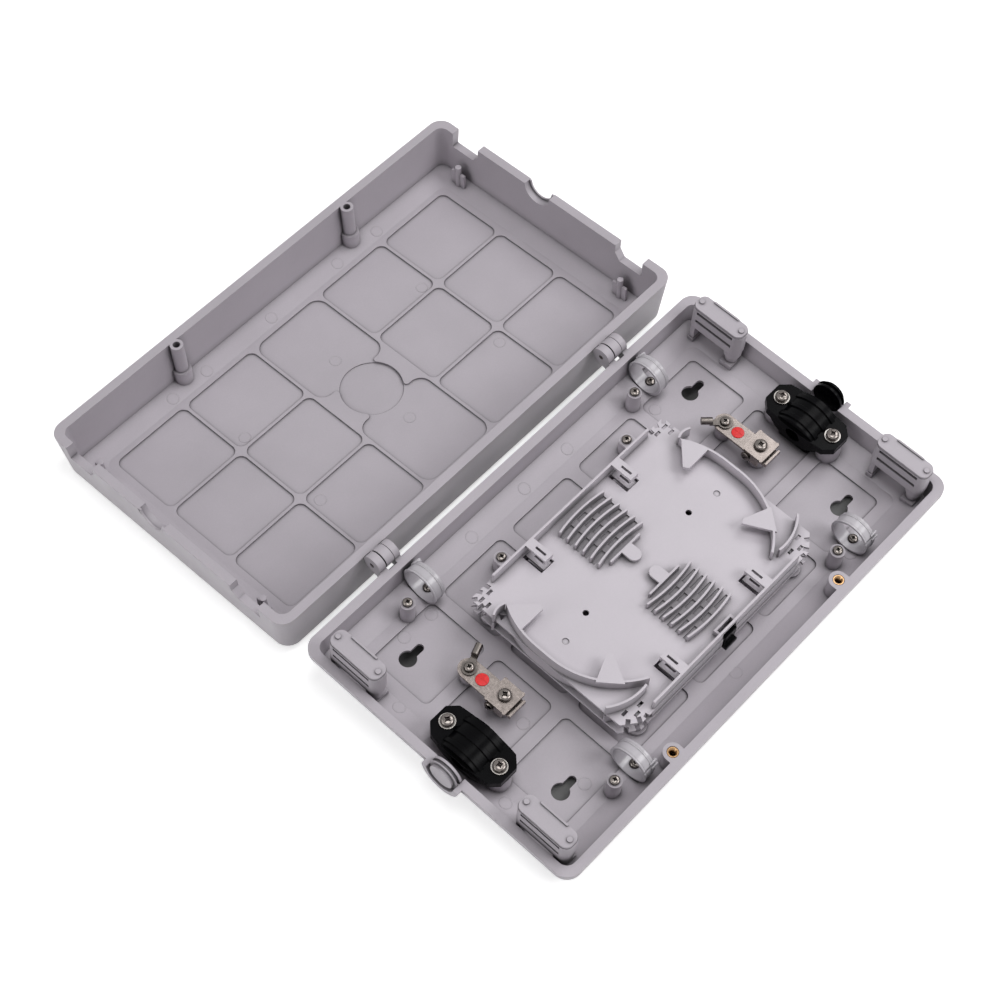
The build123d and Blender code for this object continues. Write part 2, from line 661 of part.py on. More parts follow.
def tray(z):
    """A splice tray with its floor's top at z: bends, entry walls, retaining tabs and two splice combs."""
    half_x = tray_half[0]
    under, top = z - tray_floor, z + tray_wall_height
    low, high = tray_near + 0.7, tray_far - 0.9
    walls, foot = bend_walls()
    tabs = bend_tabs()
    added = [block(19 - half_x, half_x - 19, low, low + tray_wall, z - 0.1, top),
             block(15.5 - half_x, half_x - 15.5, high - tray_wall, high, z - 0.1, top),
             block(-5.2, 8.8, low + 0.5, low + 5.6, z - 0.1, z + 4.0)]
    latch_way = block(-3.8, 7.4, low - 2, low + 4.3, z - 3, z + 5)
    cut = []
    for side in ends:
        for plan, z0, z1 in ((walls, z - 0.1, top), (foot, under, z), (tabs, top - 1.8, top)):
            face = plan if side > 0 else mirror(plan, about=Plane.YZ)
            added.append(extrude(Pos(0, 0, z0) * face, amount=z1 - z0, dir=(0, 0, 1)))
        cut.append(upright(1.8, side * (half_x - 36.5), bend_line + 0.4, z - 3, z + 1))
        cut.append(upright(2.0, side * (half_x - 16.5), bend_line - 3, z - 0.6, z + 1))
        for inset, y in ((3.8, tray_far - 4.7), (10.0, tray_far - 4.7), (3.8, tray_far - 9.5),
                         (7.0, tray_near + 10.1), (16.4, tray_near + 7.5), (11.2, tray_near + 5.1)):
            x = side * (half_x - inset)
            cut.append(block(x - 1.9, x + 1.9, y - 0.9, y + 0.9, z - 3, z + 1))
        corner_hole = Pos(side * (half_x - 4), bend_line + 31, z - 3) * RegularPolygon(2.4, 3, rotation=90)
        cut.append(extrude(corner_hole, amount=5))
        for wall_y, inward in ((high - tray_wall, -1), (low + tray_wall, 1)):
            more, less = tongue(side * (half_x - tongue_inset), wall_y, inward, z, top)
            added.append(more)
            cut.append(less)
    for facing in (1, -1):
        more, less = comb(z, facing)
        added += more
        cut += less
    added += [upright(3.5, x, y, under - tray_leg, under + 0.1) for x, y in leg_places]
    floor = extrude(Pos(0, 0, under) * tray_outline(), amount=tray_floor, dir=(0, 0, 1))
    # The floor is pierced first, since the retaining tongues stand over their own openings.
    return floor - cut + added - latch_way


def comb(z, facing):
    """One splice comb: its bowed ribs, end stop and thumb tongue, and the hollows between the ribs."""
    added, cut = [], []

    def place(distance):
        return comb_mirror + facing * (comb_first + distance)

    for k in range(comb_ribs - 1):
        y = place(k * comb_pitch + comb_pitch / 2)
        for x0, x1 in ((-comb_half, -8.0), (-3.4, 3.4), (7.6, comb_half)):
            cut.append(block(x0, x1, y - 1.5, y + 1.5, z - comb_recess, z + 1))
    for k in range(comb_ribs):
        y = place(k * comb_pitch)
        ring = Circle(comb_bow + comb_rib / 2) - Circle(comb_bow - comb_rib / 2)
        rib = (Pos(0, y - facing * comb_bow) * ring) & (Pos(0, y) * Rectangle(2 * comb_half, 9))
        added.append(extrude(Pos(0, 0, z - 0.1) * rib, amount=comb_height + 0.1, dir=(0, 0, 1)))
    stop = place(-5.0)
    low, high = z + comb_height - 2.4, z + comb_height - 1
    tip = stop - facing * 6.0
    added += [block(-12.0, 12.0, stop - 0.6, stop + 0.6, z - 0.1, high), upright(4.0, 0.5, tip, low, high),
              block(-3.5, 4.5, *sorted((tip, stop)), low, high)]
    return added, cut


def lower_tray():
    """The lower tray, screwed down by two ears on its hinge side."""
    body = tray(low_tray_z)
    for x in ear_x:
        body += block(x - ear_radius, x + ear_radius, tray_far - 2, ear_line, low_tray_z - tray_floor, low_tray_z)
        body += upright(ear_radius, x, ear_line, low_tray_z - tray_floor, low_tray_z)
        body -= upright(small_screw[0] + 0.1, x, ear_line, 0, low_tray_z + 1)
    return body


def latch_finger():
    """A springy finger on the lower tray that hooks over the upper tray in its near slot."""
    y = tray_near + 0.7
    foot = block(-2.6, 6.2, y - 3.4, y - 0.3, low_tray_z - tray_floor, low_tray_z + 1.5)
    arm = block(-2.6, 6.2, y - 1.5, y - 0.3, low_tray_z, top_tray_z + 1.4)
    hook = block(-2.6, 6.2, y - 1.5, y + 1.6, top_tray_z + 0.1, top_tray_z + 1.4)
    return foot + arm + hook


def middle_pockets():
    """Plan of the lid's middle pockets: two long ones that run into a round one between them."""
    px, py = pocket_pitch
    outer = (py * pocket_count[1] - lid_pocket_gap) / 2
    inner = lid_circle_radius - lid_circle_land
    plan = Circle(lid_circle_radius)
    for side in ends:
        long = RectangleRounded(px - lid_pocket_gap, outer - inner, lid_middle_radius)
        plan += Pos(0, side * (inner + outer) / 2) * long
    meets = [v for v in plan.vertices() if abs(v.Y) < inner + 0.01 and abs(v.X) < lid_circle_radius - 4]
    return fillet(meets, lid_circle_blend * lid_circle_radius)


def lid_shell():
    """The lid, closed: a deeper tub turned over, with posts, pressers, notches and the mid knuckles."""
    body = tub(lid_height, lid_top, 0.0, lid_draft, lid_bevel, lid_slope_rise)
    px, py = pocket_pitch
    deep = lid_top - pocket_depth
    wide, long = px - lid_pocket_gap, py - lid_pocket_gap
    cut = [rounded_box(wide, long, deep, lid_top + 0.1, lid_pocket_radius, x, y)
           for i, j, x, y in pocket_centres() if i != 0]
    cut.append(extrude(Pos(0, 0, deep) * middle_pockets(), amount=pocket_depth + 0.1, dir=(0, 0, 1)))
    body -= cut + [upright(lid_circle_radius, 0, 0, deep - lid_circle_step, lid_top + 0.1)]
    body = Pos(0, 0, rim_z + rim_gap + lid_height) * Rot(180, 0, 0) * body
    ceiling = rim_z + rim_gap + lid_height - lid_top
    start = rim_z + rim_gap
    added, cut = [], []
    for x in (-screw_x, screw_x):
        added.append(upright(post_tip_radius, x, screw_line, start, ceiling + 0.1))
        added.append(upright(post_foot_radius, x, screw_line, start + post_step, ceiling + 0.1))
        added.append(block(x - 0.9, x + 0.9, -width / 2 + rim_width - 1, screw_line, start + 3, ceiling))
        cut.append(upright(post_bore, x, screw_line, start - 1, start + lid_height + 1))
        cut.append(upright(post_tip_radius - 0.2, x, screw_line, start + post_step + 3,
                           start + lid_height + 1))
    for side in ends:
        tip = entry_top + presser_clearance
        for x, y in [(side * entry_x, y) for y in entry_rows]:
            added.append(upright(presser_radius, x, y, tip, ceiling + 0.1))
            added.append(block(x - 0.8, x + 0.8, y - 5.2, y + 5.2, tip + 5, ceiling + 0.1))
            cut.append(entry_notch(side, y))
    for middle in hinge_centres():
        mid = knuckle_spans(middle)[1]
        added.append(knuckle(*mid, 1))
        cut.append(pin_hole(mid[0] - 1, mid[1] + 1, pin_clearance))
    cut += [port_bore(side, 60, port_radius + rim_gap) for side in ends]
    return body + added - cut + [port_lip(side, start, 60, lip_radius + rim_gap) for side in ends]


def port_lip(side, low, high, radius):
    """A thin half-round lip in a middle port that enters the plug's groove, between two heights."""
    x0, x1 = sorted((side * (length / 2 - 1.5), side * (length / 2 - 0.5)))
    lip = along_x(port_radius + 0.6, x0, x1, port_line, rim_z + port_rise)
    lip -= along_x(radius, x0 - 1, x1 + 1, port_line, rim_z + port_rise)
    return lip & block(x0, x1, port_line - 40, port_line + 40, low, high)


def entry_notch(side, y):
    """A cable notch in the lid's end wall: square toward the corner, slanted toward the middle."""
    start = rim_z + rim_gap
    corner = 1 if y > 0 else -1
    half = lid_notch_width / 2
    deep = start + lid_notch_depth
    outline = Plane.YZ * Polygon((y + corner * half, start - 1), (y + corner * half, deep),
                                 (y - corner * (half - 4), deep), (y - corner * half, deep - 5),
                                 (y - corner * half, start - 1), align=None)
    x0 = side * (length / 2 - 10)
    return extrude(Pos(x0, 0, 0) * outline, amount=20, dir=(side, 0, 0))


def hinge_pin(middle):
    near, mid, far = knuckle_spans(middle)
    return along_x(pin_radius, near[0], far[1] - 1 - seat_clearance, axis_y, axis_z)


def threaded_insert(x):
    """A brass sleeve pressed into a boss of the base, with a rim and a groove."""
    z0, z1 = rim_z - insert_length, rim_z
    body = upright(insert_outer, x, screw_line, z0 + seat_clearance, z1)
    body -= upright(insert_outer + 1, x, screw_line, z1 - 3.4, z1 - 2.6) - \
        upright(insert_outer - 0.5, x, screw_line, z1 - 3.4, z1 - 2.6)
    body -= upright(insert_bore, x, screw_line, z0 - 1, z1 + 1)
    return body


def washer(x, y, z):
    radius, thick = washer_size
    return upright(radius, x, y, z, z + thick) - upright(clamp_screw[0] + 0.25, x, y, z - 1, z + 2)


def build():
    """Every piece by the name of its node."""
    parts = {"base_shell": base_shell(), "lid_shell": swung(lid_shell())}
    sides = (("left", -1), ("right", 1))
    for (name, side), hinge in zip(sides, hinge_centres()):
        parts[f"hinge_pin_{name}"] = hinge_pin(hinge)
        parts[f"threaded_insert_{name}"] = threaded_insert(side * screw_x)
        parts[f"port_plug_{name}"] = port_plug(side)
        parts[f"cable_clamp_{name}"] = cable_clamp(side)
        parts[f"clamp_saddle_{name}"] = clamp_saddle(side)
        parts[f"earth_plate_{name}"] = earth_plate(side)
        parts[f"earth_saddle_{name}"] = earth_saddle(side)
        parts[f"earth_lug_{name}"] = crimp_lug(side)
        parts[f"pinch_screw_{name}"] = side_screw(side)
        for row, y in zip(("rear", "front"), entry_rows):
            parts[f"cable_entry_{row}_{name}"] = cable_entry(side * entry_x, y)
        x = ring_x[0] if side < 0 else ring_x[1]
        for row, y in zip(("rear", "front"), ring_rows):
            parts[f"guide_ring_{row}_{name}"] = guide_ring(x, y)
    parts["splice_tray_lower"] = lower_tray()
    parts["splice_tray_upper"] = tray(top_tray_z)
    parts["tray_latch"] = latch_finger()
    clamp_top = clamp_seat + clamp_thick
    clamp_places = [(side * clamp_x, y) for side in ends for y in clamp_rows]
    parts["clamp_washers"] = Compound([washer(x, y, clamp_top) for x, y in clamp_places])
    seat = clamp_top + washer_size[1]
    parts["clamp_screws"] = Compound([screw(clamp_screw, x, y, seat, clamp_thick + screw_bite)
                                      for x, y in clamp_places])
    parts["pillar_screws"] = Compound([screw(small_screw, x, y, pillar_top, screw_bite)
                                       for x, y in pillar_places])
    parts["ring_screws"] = Compound([screw(small_screw, x, y, ring_seat, 3.0) for x, y in ring_places])
    parts["tray_screws"] = Compound([screw(small_screw, x, ear_line, low_tray_z, screw_bite) for x in ear_x])
    lug_top = earth_plate_top + seat_clearance + 0.9
    parts["earth_screws"] = Compound([screw(small_screw, side * earth_x, earth_screw_y, lug_top, screw_bite)
                                      for side in ends])
    saddle_top = earth_plate_top + earth_saddle_gap + earth_saddle_thick
    parts["saddle_screws"] = Compound([screw(clamp_screw, side * earth_x, earth_clamp_y, saddle_top, 10.0)
                                       for side in ends])
    return parts


os.makedirs("parts", exist_ok=True)
for node, shape in build().items():
    export_step(shape, f"parts/{node}.step")
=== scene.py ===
"""A fibre splice box lying open: the finishes, fine hardware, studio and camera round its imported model.

Lengths are in metres in the part's own frame, unless a name ends in _mm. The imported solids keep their
places. This script gives each its surface, stands finely turned screws and sleeves and short guide hoops
in for the plain ones, and adds the marks that the mould left on the floors and the red dots on the plates.
"""
import json
import logging
import math
from dataclasses import dataclass, field
from enum import Enum
from typing import Iterable, Sequence

import bpy
from mathutils import Euler, Matrix, Quaternion, Vector


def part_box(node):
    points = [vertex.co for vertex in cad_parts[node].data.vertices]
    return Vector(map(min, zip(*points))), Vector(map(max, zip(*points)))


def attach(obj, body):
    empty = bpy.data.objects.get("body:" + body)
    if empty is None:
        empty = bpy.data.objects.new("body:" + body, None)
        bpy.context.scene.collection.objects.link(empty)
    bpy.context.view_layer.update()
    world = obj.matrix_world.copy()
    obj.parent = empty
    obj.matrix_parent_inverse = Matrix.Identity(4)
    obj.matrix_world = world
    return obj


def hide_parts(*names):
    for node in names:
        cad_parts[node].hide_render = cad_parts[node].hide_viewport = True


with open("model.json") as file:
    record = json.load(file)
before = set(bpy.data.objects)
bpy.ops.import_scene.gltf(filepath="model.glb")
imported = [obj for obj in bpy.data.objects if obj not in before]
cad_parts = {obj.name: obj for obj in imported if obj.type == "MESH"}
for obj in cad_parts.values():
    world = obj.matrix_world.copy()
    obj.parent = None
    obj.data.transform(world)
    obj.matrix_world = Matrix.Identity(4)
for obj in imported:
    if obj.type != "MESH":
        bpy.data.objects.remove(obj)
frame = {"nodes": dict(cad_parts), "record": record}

LOG = logging.getLogger("splice_box")
MM = 0.001

SMOOTH_ANGLE = math.radians(32.0)
BEVEL_ANGLE = math.radians(35.0)
BEVEL_SEGMENTS = 2
WELD_GAP = 0.001 * MM

Rgb = tuple[float, float, float]
Profile = Sequence[tuple[float, float]]


class Body(Enum):
    """The two bodies that the hinge joins."""

    BASE = "base"
    LID = "lid"


class Slot(Enum):
    """The record's material slots."""

    GREY = "grey_plastic"
    RING = "ring_plastic"
    BLACK = "black_plastic"
    NICKEL = "nickel_plate"
    ZINC = "zinc_steel"
    BRASS = "brass"


def linear(red: int, green: int, blue: int) -> Rgb:
    """A linear colour from the 0 to 255 values of a screen colour.

    Args:
        red: Screen red.
        green: Screen green.
        blue: Screen blue.

    Returns:
        The same colour as Blender's sockets want it.
    """

    def one(value: int) -> float:
        share = value / 255
        return share / 12.92 if share <= 0.04045 else ((share + 0.055) / 1.055) ** 2.4

    return (one(red), one(green), one(blue))


class Graph:
    """A material's node tree, with short calls to add and join nodes."""

    noise_roughness = 0.55
    samples = 6
    hidden_below = 0.35
    open_above = 0.95
    full_edge = 0.7

    def __init__(self, name: str) -> None:
        """Starts an empty material.

        Args:
            name: The material's name.
        """
        self.material = bpy.data.materials.new(name)
        self.material.use_nodes = True
        self.tree = self.material.node_tree
        self.tree.nodes.clear()
        self.place = self.add("ShaderNodeTexCoord").outputs["Object"]

    def add(self, kind: str, inputs: dict | None = None, **settings: object) -> bpy.types.Node:
        """Adds a node.

        Args:
            kind: The node's type name.
            inputs: Socket names and the values or output sockets for them.
            **settings: The node's own properties.

        Returns:
            The new node.
        """
        node = self.tree.nodes.new(kind)
        for key, value in settings.items():
            setattr(node, key, value)
        for key, value in (inputs or {}).items():
            if isinstance(value, bpy.types.NodeSocket):
                self.tree.links.new(value, node.inputs[key])
            else:
                node.inputs[key].default_value = value
        return node

    def noise(self, size: float, detail: float, stretch: Vector | None = None) -> bpy.types.NodeSocket:
        """Cloudy noise with features of a given size.

        Args:
            size: Feature size in metres.
            detail: Octaves of finer noise.
            stretch: How much each axis is drawn out, if it is.

        Returns:
            The noise's value socket, from 0 to 1.
        """
        where = self.place
        if stretch is not None:
            where = self.add("ShaderNodeMapping", {"Vector": where, "Scale": stretch}).outputs["Vector"]
        settings = {"Vector": where, "Scale": 1 / size, "Detail": detail,
                    "Roughness": self.noise_roughness}
        return self.add("ShaderNodeTexNoise", settings).outputs["Fac"]

    def spread(self, value: bpy.types.NodeSocket, low: float, high: float,
               start: float = 0.3, end: float = 0.7) -> bpy.types.NodeSocket:
        """Maps a 0 to 1 value onto another range.

        Args:
            value: The socket to map.
            low: Result at start.
            high: Result at end.
            start: Input that gives low.
            end: Input that gives high.

        Returns:
            The mapped value's socket.
        """
        settings = {"Value": value, "From Min": start, "From Max": end, "To Min": low, "To Max": high}
        return self.add("ShaderNodeMapRange", settings).outputs["Result"]

    def tinted(self, colour: Rgb, factor: bpy.types.NodeSocket) -> bpy.types.NodeSocket:
        """A colour made lighter or darker by a factor round 1.

        Args:
            colour: The linear colour.
            factor: The factor's socket.

        Returns:
            The colour socket.
        """
        scaled = self.add("ShaderNodeVectorMath", {0: colour}, operation="SCALE")
        self.tree.links.new(factor, scaled.inputs["Scale"])
        return scaled.outputs["Vector"]

    def product(self, first: bpy.types.NodeSocket, second: bpy.types.NodeSocket) -> bpy.types.NodeSocket:
        """The product of two values.

        Args:
            first: One value's socket.
            second: The other's.

        Returns:
            The product's socket.
        """
        return self.add("ShaderNodeMath", {0: first, 1: second}, operation="MULTIPLY").outputs[0]

    def rounded(self, radius: float) -> bpy.types.NodeSocket:
        """Normals that round every edge by a small radius.

        Args:
            radius: The radius in metres.

        Returns:
            The normal socket.
        """
        return self.add("ShaderNodeBevel", {"Radius": radius}, samples=self.samples).outputs["Normal"]

    def crevice_shade(self, reach: float, darkest: float) -> bpy.types.NodeSocket:
        """Painted shade that gathers in creases, slots and joints, from ambient occlusion.

        Args:
            reach: How far it spreads, in metres.
            darkest: The factor in the deepest places.

        Returns:
            A factor that is 1 on open areas.
        """
        # Painted shade: ambient occlusion darkens the colour where little light would reach.
        hidden = self.add("ShaderNodeAmbientOcclusion", {"Distance": reach}, samples=self.samples)
        return self.spread(hidden.outputs["AO"], darkest, 1.0, self.hidden_below, self.open_above)

    def edge_share(self, normal: bpy.types.NodeSocket) -> bpy.types.NodeSocket:
        """How far rounded normals lean from the surface's own, which shows where the edges are.

        Args:
            normal: The rounded normals' socket.

        Returns:
            A value that is 0 on flat areas and grows toward edges.
        """
        own = self.add("ShaderNodeNewGeometry").outputs["Normal"]
        dot = self.add("ShaderNodeVectorMath", {0: own, 1: normal}, operation="DOT_PRODUCT").outputs["Value"]
        return self.spread(dot, 0.0, 1.0, 1.0, self.full_edge)

    def bump(self, height: bpy.types.NodeSocket, depth: float, strength: float,
             normal: bpy.types.NodeSocket | None = None) -> bpy.types.NodeSocket:
        """Fine relief on top of other normals.

        Args:
            height: The relief's height, from 0 to 1.
            depth: Its depth in metres.
            strength: How strongly it shows.
            normal: Normals to start from, if not the surface's own.

        Returns:
            The normal socket.
        """
        settings = {"Height": height, "Distance": depth, "Strength": strength}
        if normal is not None:
            settings["Normal"] = normal
        return self.add("ShaderNodeBump", settings).outputs["Normal"]

    def close(self, **sockets: object) -> bpy.types.Material:
        """Ends the tree with a Principled shader.

        Args:
            **sockets: Shader sockets by name, with underscores for spaces, and their values or inputs.

        Returns:
            The finished material.
        """
        named = {key.replace("_", " "): value for key, value in sockets.items()}
        shader = self.add("ShaderNodeBsdfPrincipled", named)
        self.add("ShaderNodeOutputMaterial", {"Surface": shader.outputs["BSDF"]})
        return self.material


@dataclass(frozen=True)
class Moulded:
    """A moulded plastic: fine spark-eroded grain, faint flow clouds, softened edges painted lighter as wear
    and painted highlight, and painted shade in creases and hollows.
    """

    name: str
    colour: Rgb
    roughness: float
    sheen: float = 0.05
    sheen_size: float = 17 * MM
    mottle: float = 0.035
    cloud_size: float = 38 * MM
    speck_size: float = 0.8 * MM
    grain: float = 0.45 * MM
    grain_depth: float = 0.03 * MM
    grain_show: float = 0.35
    edge: float = 0.35 * MM
    # How much lighter the colour is painted toward edges: partly wear, partly a painted highlight.
    edge_wear_and_highlight: float = 0.10
    gloss: float = 0.35
    # Painted shade in creases and in wider hollows: the darkest factor of each and how far it reaches.
    crease_shade: float = 0.5
    crease_shade_reach: float = 1.8 * MM
    hollow: float = 0.38
    hollow_shade_reach: float = 6.5 * MM

    def material(self) -> bpy.types.Material:
        """Builds the node material."""
        g = Graph(self.name)
        clouds = g.spread(g.noise(self.cloud_size, 3.0), 1 - self.mottle, 1 + self.mottle)
        specks = g.spread(g.noise(self.speck_size, 1.0), 1 - self.mottle / 2, 1 + self.mottle / 2)
        soft = g.rounded(self.edge)
        # Lighter colour toward the rounded edges: partly wear, partly a painted highlight.
        worn_and_highlit_edges = g.spread(g.edge_share(soft), 1.0, 1 + self.edge_wear_and_highlight, 0.0, 1.0)
        # Painted shade from ambient occlusion, in creases and in wider hollows, multiplied into the colour.
        creases = g.crevice_shade(self.crease_shade_reach, self.crease_shade)
        painted_shade = g.product(creases, g.crevice_shade(self.hollow_shade_reach, self.hollow))
        shade = g.product(g.product(clouds, specks), g.product(worn_and_highlit_edges, painted_shade))
        rough = g.spread(g.noise(self.sheen_size, 4.0), self.roughness - self.sheen,
                         self.roughness + self.sheen)
        relief = g.bump(g.noise(self.grain, 1.5), self.grain_depth, self.grain_show, soft)
        return g.close(Base_Color=g.tinted(self.colour, shade), Roughness=rough, Normal=relief,
                       Specular_IOR_Level=self.gloss)


@dataclass(frozen=True)
class Plated:
    """A plated or turned metal: faint drawn marks, uneven gloss, rounded edges and painted shade in recesses.
    """

    name: str
    colour: Rgb
    roughness: float
    sheen: float = 0.3
    sheen_size: float = 1.2 * MM
    edge: float = 0.15 * MM
    marks: float = 0.4 * MM
    mark_depth: float = 0.01 * MM
    mark_show: float = 0.35
    drawn: Vector = field(default_factory=lambda: Vector((1.0, 1.0, 1.0)))
    tarnish: float = 0.10
    tarnish_size: float = 3.5 * MM
    # How dark the painted shade in recesses gets, and how far it reaches.
    recess_shade: float = 0.12
    recess_shade_reach: float = 1.6 * MM

    def material(self) -> bpy.types.Material:
        """Builds the node material."""
        g = Graph(self.name)
        tarnish = g.spread(g.noise(self.tarnish_size, 1.5), 1 - self.tarnish, 1 + self.tarnish / 2)
        # Painted shade in recesses, from ambient occlusion, on top of the random tarnish.
        shade = g.product(tarnish, g.crevice_shade(self.recess_shade_reach, self.recess_shade))
        rough = g.spread(g.noise(self.sheen_size, 3.0), self.roughness * (1 - self.sheen),
                         self.roughness * (1 + self.sheen))
        soft = g.rounded(self.edge)
        relief = g.bump(g.noise(self.marks, 3.0, self.drawn), self.mark_depth, self.mark_show, soft)
        return g.close(Base_Color=g.tinted(self.colour, shade), Roughness=rough, Normal=relief, Metallic=1.0)


@dataclass(frozen=True)
class Enamel:
    """A drop of coloured marking paint with a slightly uneven skin."""

    name: str
    colour: Rgb
    roughness: float = 0.35
    cloud_size: float = 1.4 * MM
    darkest: float = 0.82
    lightest: float = 1.08
    skin_size: float = 1.1 * MM
    skin_depth: float = 0.05 * MM
    skin_show: float = 0.4

    def material(self) -> bpy.types.Material:
        """Builds the node material."""
        g = Graph(self.name)
        shade = g.spread(g.noise(self.cloud_size, 3.0), self.darkest, self.lightest)
        relief = g.bump(g.noise(self.skin_size, 2.0), self.skin_depth, self.skin_show)
        return g.close(Base_Color=g.tinted(self.colour, shade), Roughness=self.roughness, Normal=relief)


GREY = Moulded("moulded_grey", linear(180, 174, 181), 0.44)
TRAY_GREY = Moulded("tray_grey", linear(202, 196, 203), 0.40, mottle=0.02, edge=0.22 * MM)
RING_GREY = Moulded("ring_grey", linear(188, 184, 190), 0.20, mottle=0.03, grain_depth=0.008 * MM,
                    gloss=0.5)
# On the black plastic the edges are painted much lighter: partly wear, partly a painted highlight.
BLACK = Moulded("moulded_black", linear(5, 5, 7), 0.22, mottle=0.2, grain_depth=0.015 * MM, edge_wear_and_highlight=0.8,
                gloss=0.05)
# Two copies of one zinc plate: the screws' colour is painted darker as shade and dark reflection, the
# washers' lighter as painted light.
ZINC = Plated("shaded_screw_zinc", (0.17, 0.152, 0.142), 0.20, recess_shade=0.06)
LIT_WASHER_ZINC = Plated("lit_washer_zinc", (0.40, 0.375, 0.355), 0.24, recess_shade=0.15)
NICKEL = Plated("warm_nickel", (0.27, 0.235, 0.22), 0.25, marks=0.7 * MM, drawn=Vector((4.0, 1.0, 1.0)),
                tarnish=0.14, recess_shade=0.12)
TURNED_BRASS = Plated("turned_brass", (0.40, 0.25, 0.13), 0.24, drawn=Vector((1.0, 1.0, 6.0)))
RED_PAINT = Enamel("red_marking", linear(222, 20, 24))

FINISH_OF_SLOT = {
    Slot.GREY: GREY,
    Slot.RING: RING_GREY,
    Slot.BLACK: BLACK,
    Slot.NICKEL: NICKEL,
    Slot.ZINC: ZINC,
    Slot.BRASS: TURNED_BRASS,
}


class Bench:
    """Modelling moves that the sub-assemblies share, done with operators as by hand."""

    @staticmethod
    def clear() -> None:
        """Leaves edit mode and deselects everything."""
        if bpy.context.object is not None and bpy.context.object.mode != "OBJECT":
            bpy.ops.object.mode_set(mode="OBJECT")
        bpy.ops.object.select_all(action="DESELECT")

    @staticmethod
    def pick(obj: bpy.types.Object) -> None:
        """Makes one object the only selected and active one."""
        Bench.clear()
        obj.select_set(True)
        bpy.context.view_layer.objects.active = obj

    @staticmethod
    def turned(name: str, profile: Profile, sides: int, closed: bool = False) -> bpy.types.Object:
        """Turns a piece about Z from a ring that is extruded and sized along a profile.

        Args:
            name: The new object's name.
            profile: (radius, height) points in metres, from one end to the other.
            sides: Number of sides of the ring.
            closed: True for a hollow piece, whose last point meets the first.

        Returns:
            The new object, at the origin.
        """
        Bench.clear()
        first_radius, first_height = profile[0]
        bpy.ops.mesh.primitive_circle_add(vertices=sides, radius=first_radius, location=(0, 0, first_height))
        obj = bpy.context.object
        obj.name = obj.data.name = name
        Bench.settle(obj)
        bpy.ops.object.mode_set(mode="EDIT")
        bpy.ops.mesh.select_all(action="SELECT")
        if not closed:
            bpy.ops.mesh.edge_face_add()
            bpy.ops.mesh.select_all(action="DESELECT")
            bpy.ops.mesh.select_non_manifold()
        steps = list(profile) + ([profile[0]] if closed else [])
        for (r0, z0), (r1, z1) in zip(steps, steps[1:]):
            bpy.ops.mesh.extrude_region_move(TRANSFORM_OT_translate={"value": (0, 0, z1 - z0)})
            bpy.ops.transform.resize(value=(r1 / r0, r1 / r0, 1), center_override=(0, 0, z1))
        if not closed:
            bpy.ops.mesh.edge_face_add()
        bpy.ops.mesh.select_all(action="SELECT")
        bpy.ops.mesh.remove_doubles(threshold=WELD_GAP)
        bpy.ops.mesh.normals_make_consistent(inside=False)
        bpy.ops.object.mode_set(mode="OBJECT")
        return obj

    @staticmethod
    def block(name: str, size: Sequence[float], centre: Sequence[float]) -> bpy.types.Object:
        """A cuboid to start a shape from.

        Args:
            name: The new object's name.
            size: Its three sizes in metres.
            centre: Its middle.

        Returns:
            The new object.
        """
        Bench.clear()
        bpy.ops.mesh.primitive_cube_add(size=1.0, location=tuple(centre))
        obj = bpy.context.object
        obj.scale = tuple(size)
        obj.name = obj.data.name = name
        Bench.settle(obj)
        return obj

    @staticmethod
    def settle(obj: bpy.types.Object) -> bpy.types.Object:
        """Moves an object's place, turn and size into its mesh."""
        Bench.pick(obj)
        bpy.ops.object.transform_apply(location=True, rotation=True, scale=True)
        return obj

    @staticmethod
    def bevel(obj: bpy.types.Object, width: float) -> bpy.types.Object:
        """Bevels the sharp edges, with a modifier that is applied.

        Args:
            obj: The object.
            width: Bevel width in metres.

        Returns:
            The same object.
        """
        Bench.pick(obj)
        bevel = obj.modifiers.new("bevel", "BEVEL")
        bevel.width, bevel.segments = width, BEVEL_SEGMENTS
        bevel.limit_method, bevel.angle_limit = "ANGLE", BEVEL_ANGLE
        bpy.ops.object.modifier_apply(modifier=bevel.name)
        return obj

    @staticmethod
    def combine(obj: bpy.types.Object, other: bpy.types.Object, operation: str) -> bpy.types.Object:
        """Cuts or welds one object with another and deletes the other.

        Args:
            obj: The object that is changed.
            other: The one that is used up.
            operation: The boolean modifier's operation.

        Returns:
            The changed object.
        """
        Bench.pick(obj)
        modifier = obj.modifiers.new("combine", "BOOLEAN")
        modifier.operation, modifier.object, modifier.solver = operation, other, "EXACT"
        bpy.ops.object.modifier_apply(modifier=modifier.name)
        bpy.data.objects.remove(other)
        return obj

    @staticmethod
    def cut(obj: bpy.types.Object, cutter: bpy.types.Object) -> bpy.types.Object:
        """Takes one object out of another and deletes the cutter."""
        return Bench.combine(obj, cutter, "DIFFERENCE")

    @staticmethod
    def weld(obj: bpy.types.Object, other: bpy.types.Object) -> bpy.types.Object:
        """Welds another object onto one and deletes the other."""
        return Bench.combine(obj, other, "UNION")

    @staticmethod
    def join(name: str, pieces: Sequence[bpy.types.Object]) -> bpy.types.Object:
        """Joins pieces into one object.

        Args:
            name: The joined object's name.
            pieces: The pieces.

        Returns:
            The joined object.
        """
        Bench.pick(pieces[0])
        for piece in pieces[1:]:
            piece.select_set(True)
        if len(pieces) > 1:
            bpy.ops.object.join()
        joined = bpy.context.view_layer.objects.active
        joined.name = joined.data.name = name
        return joined

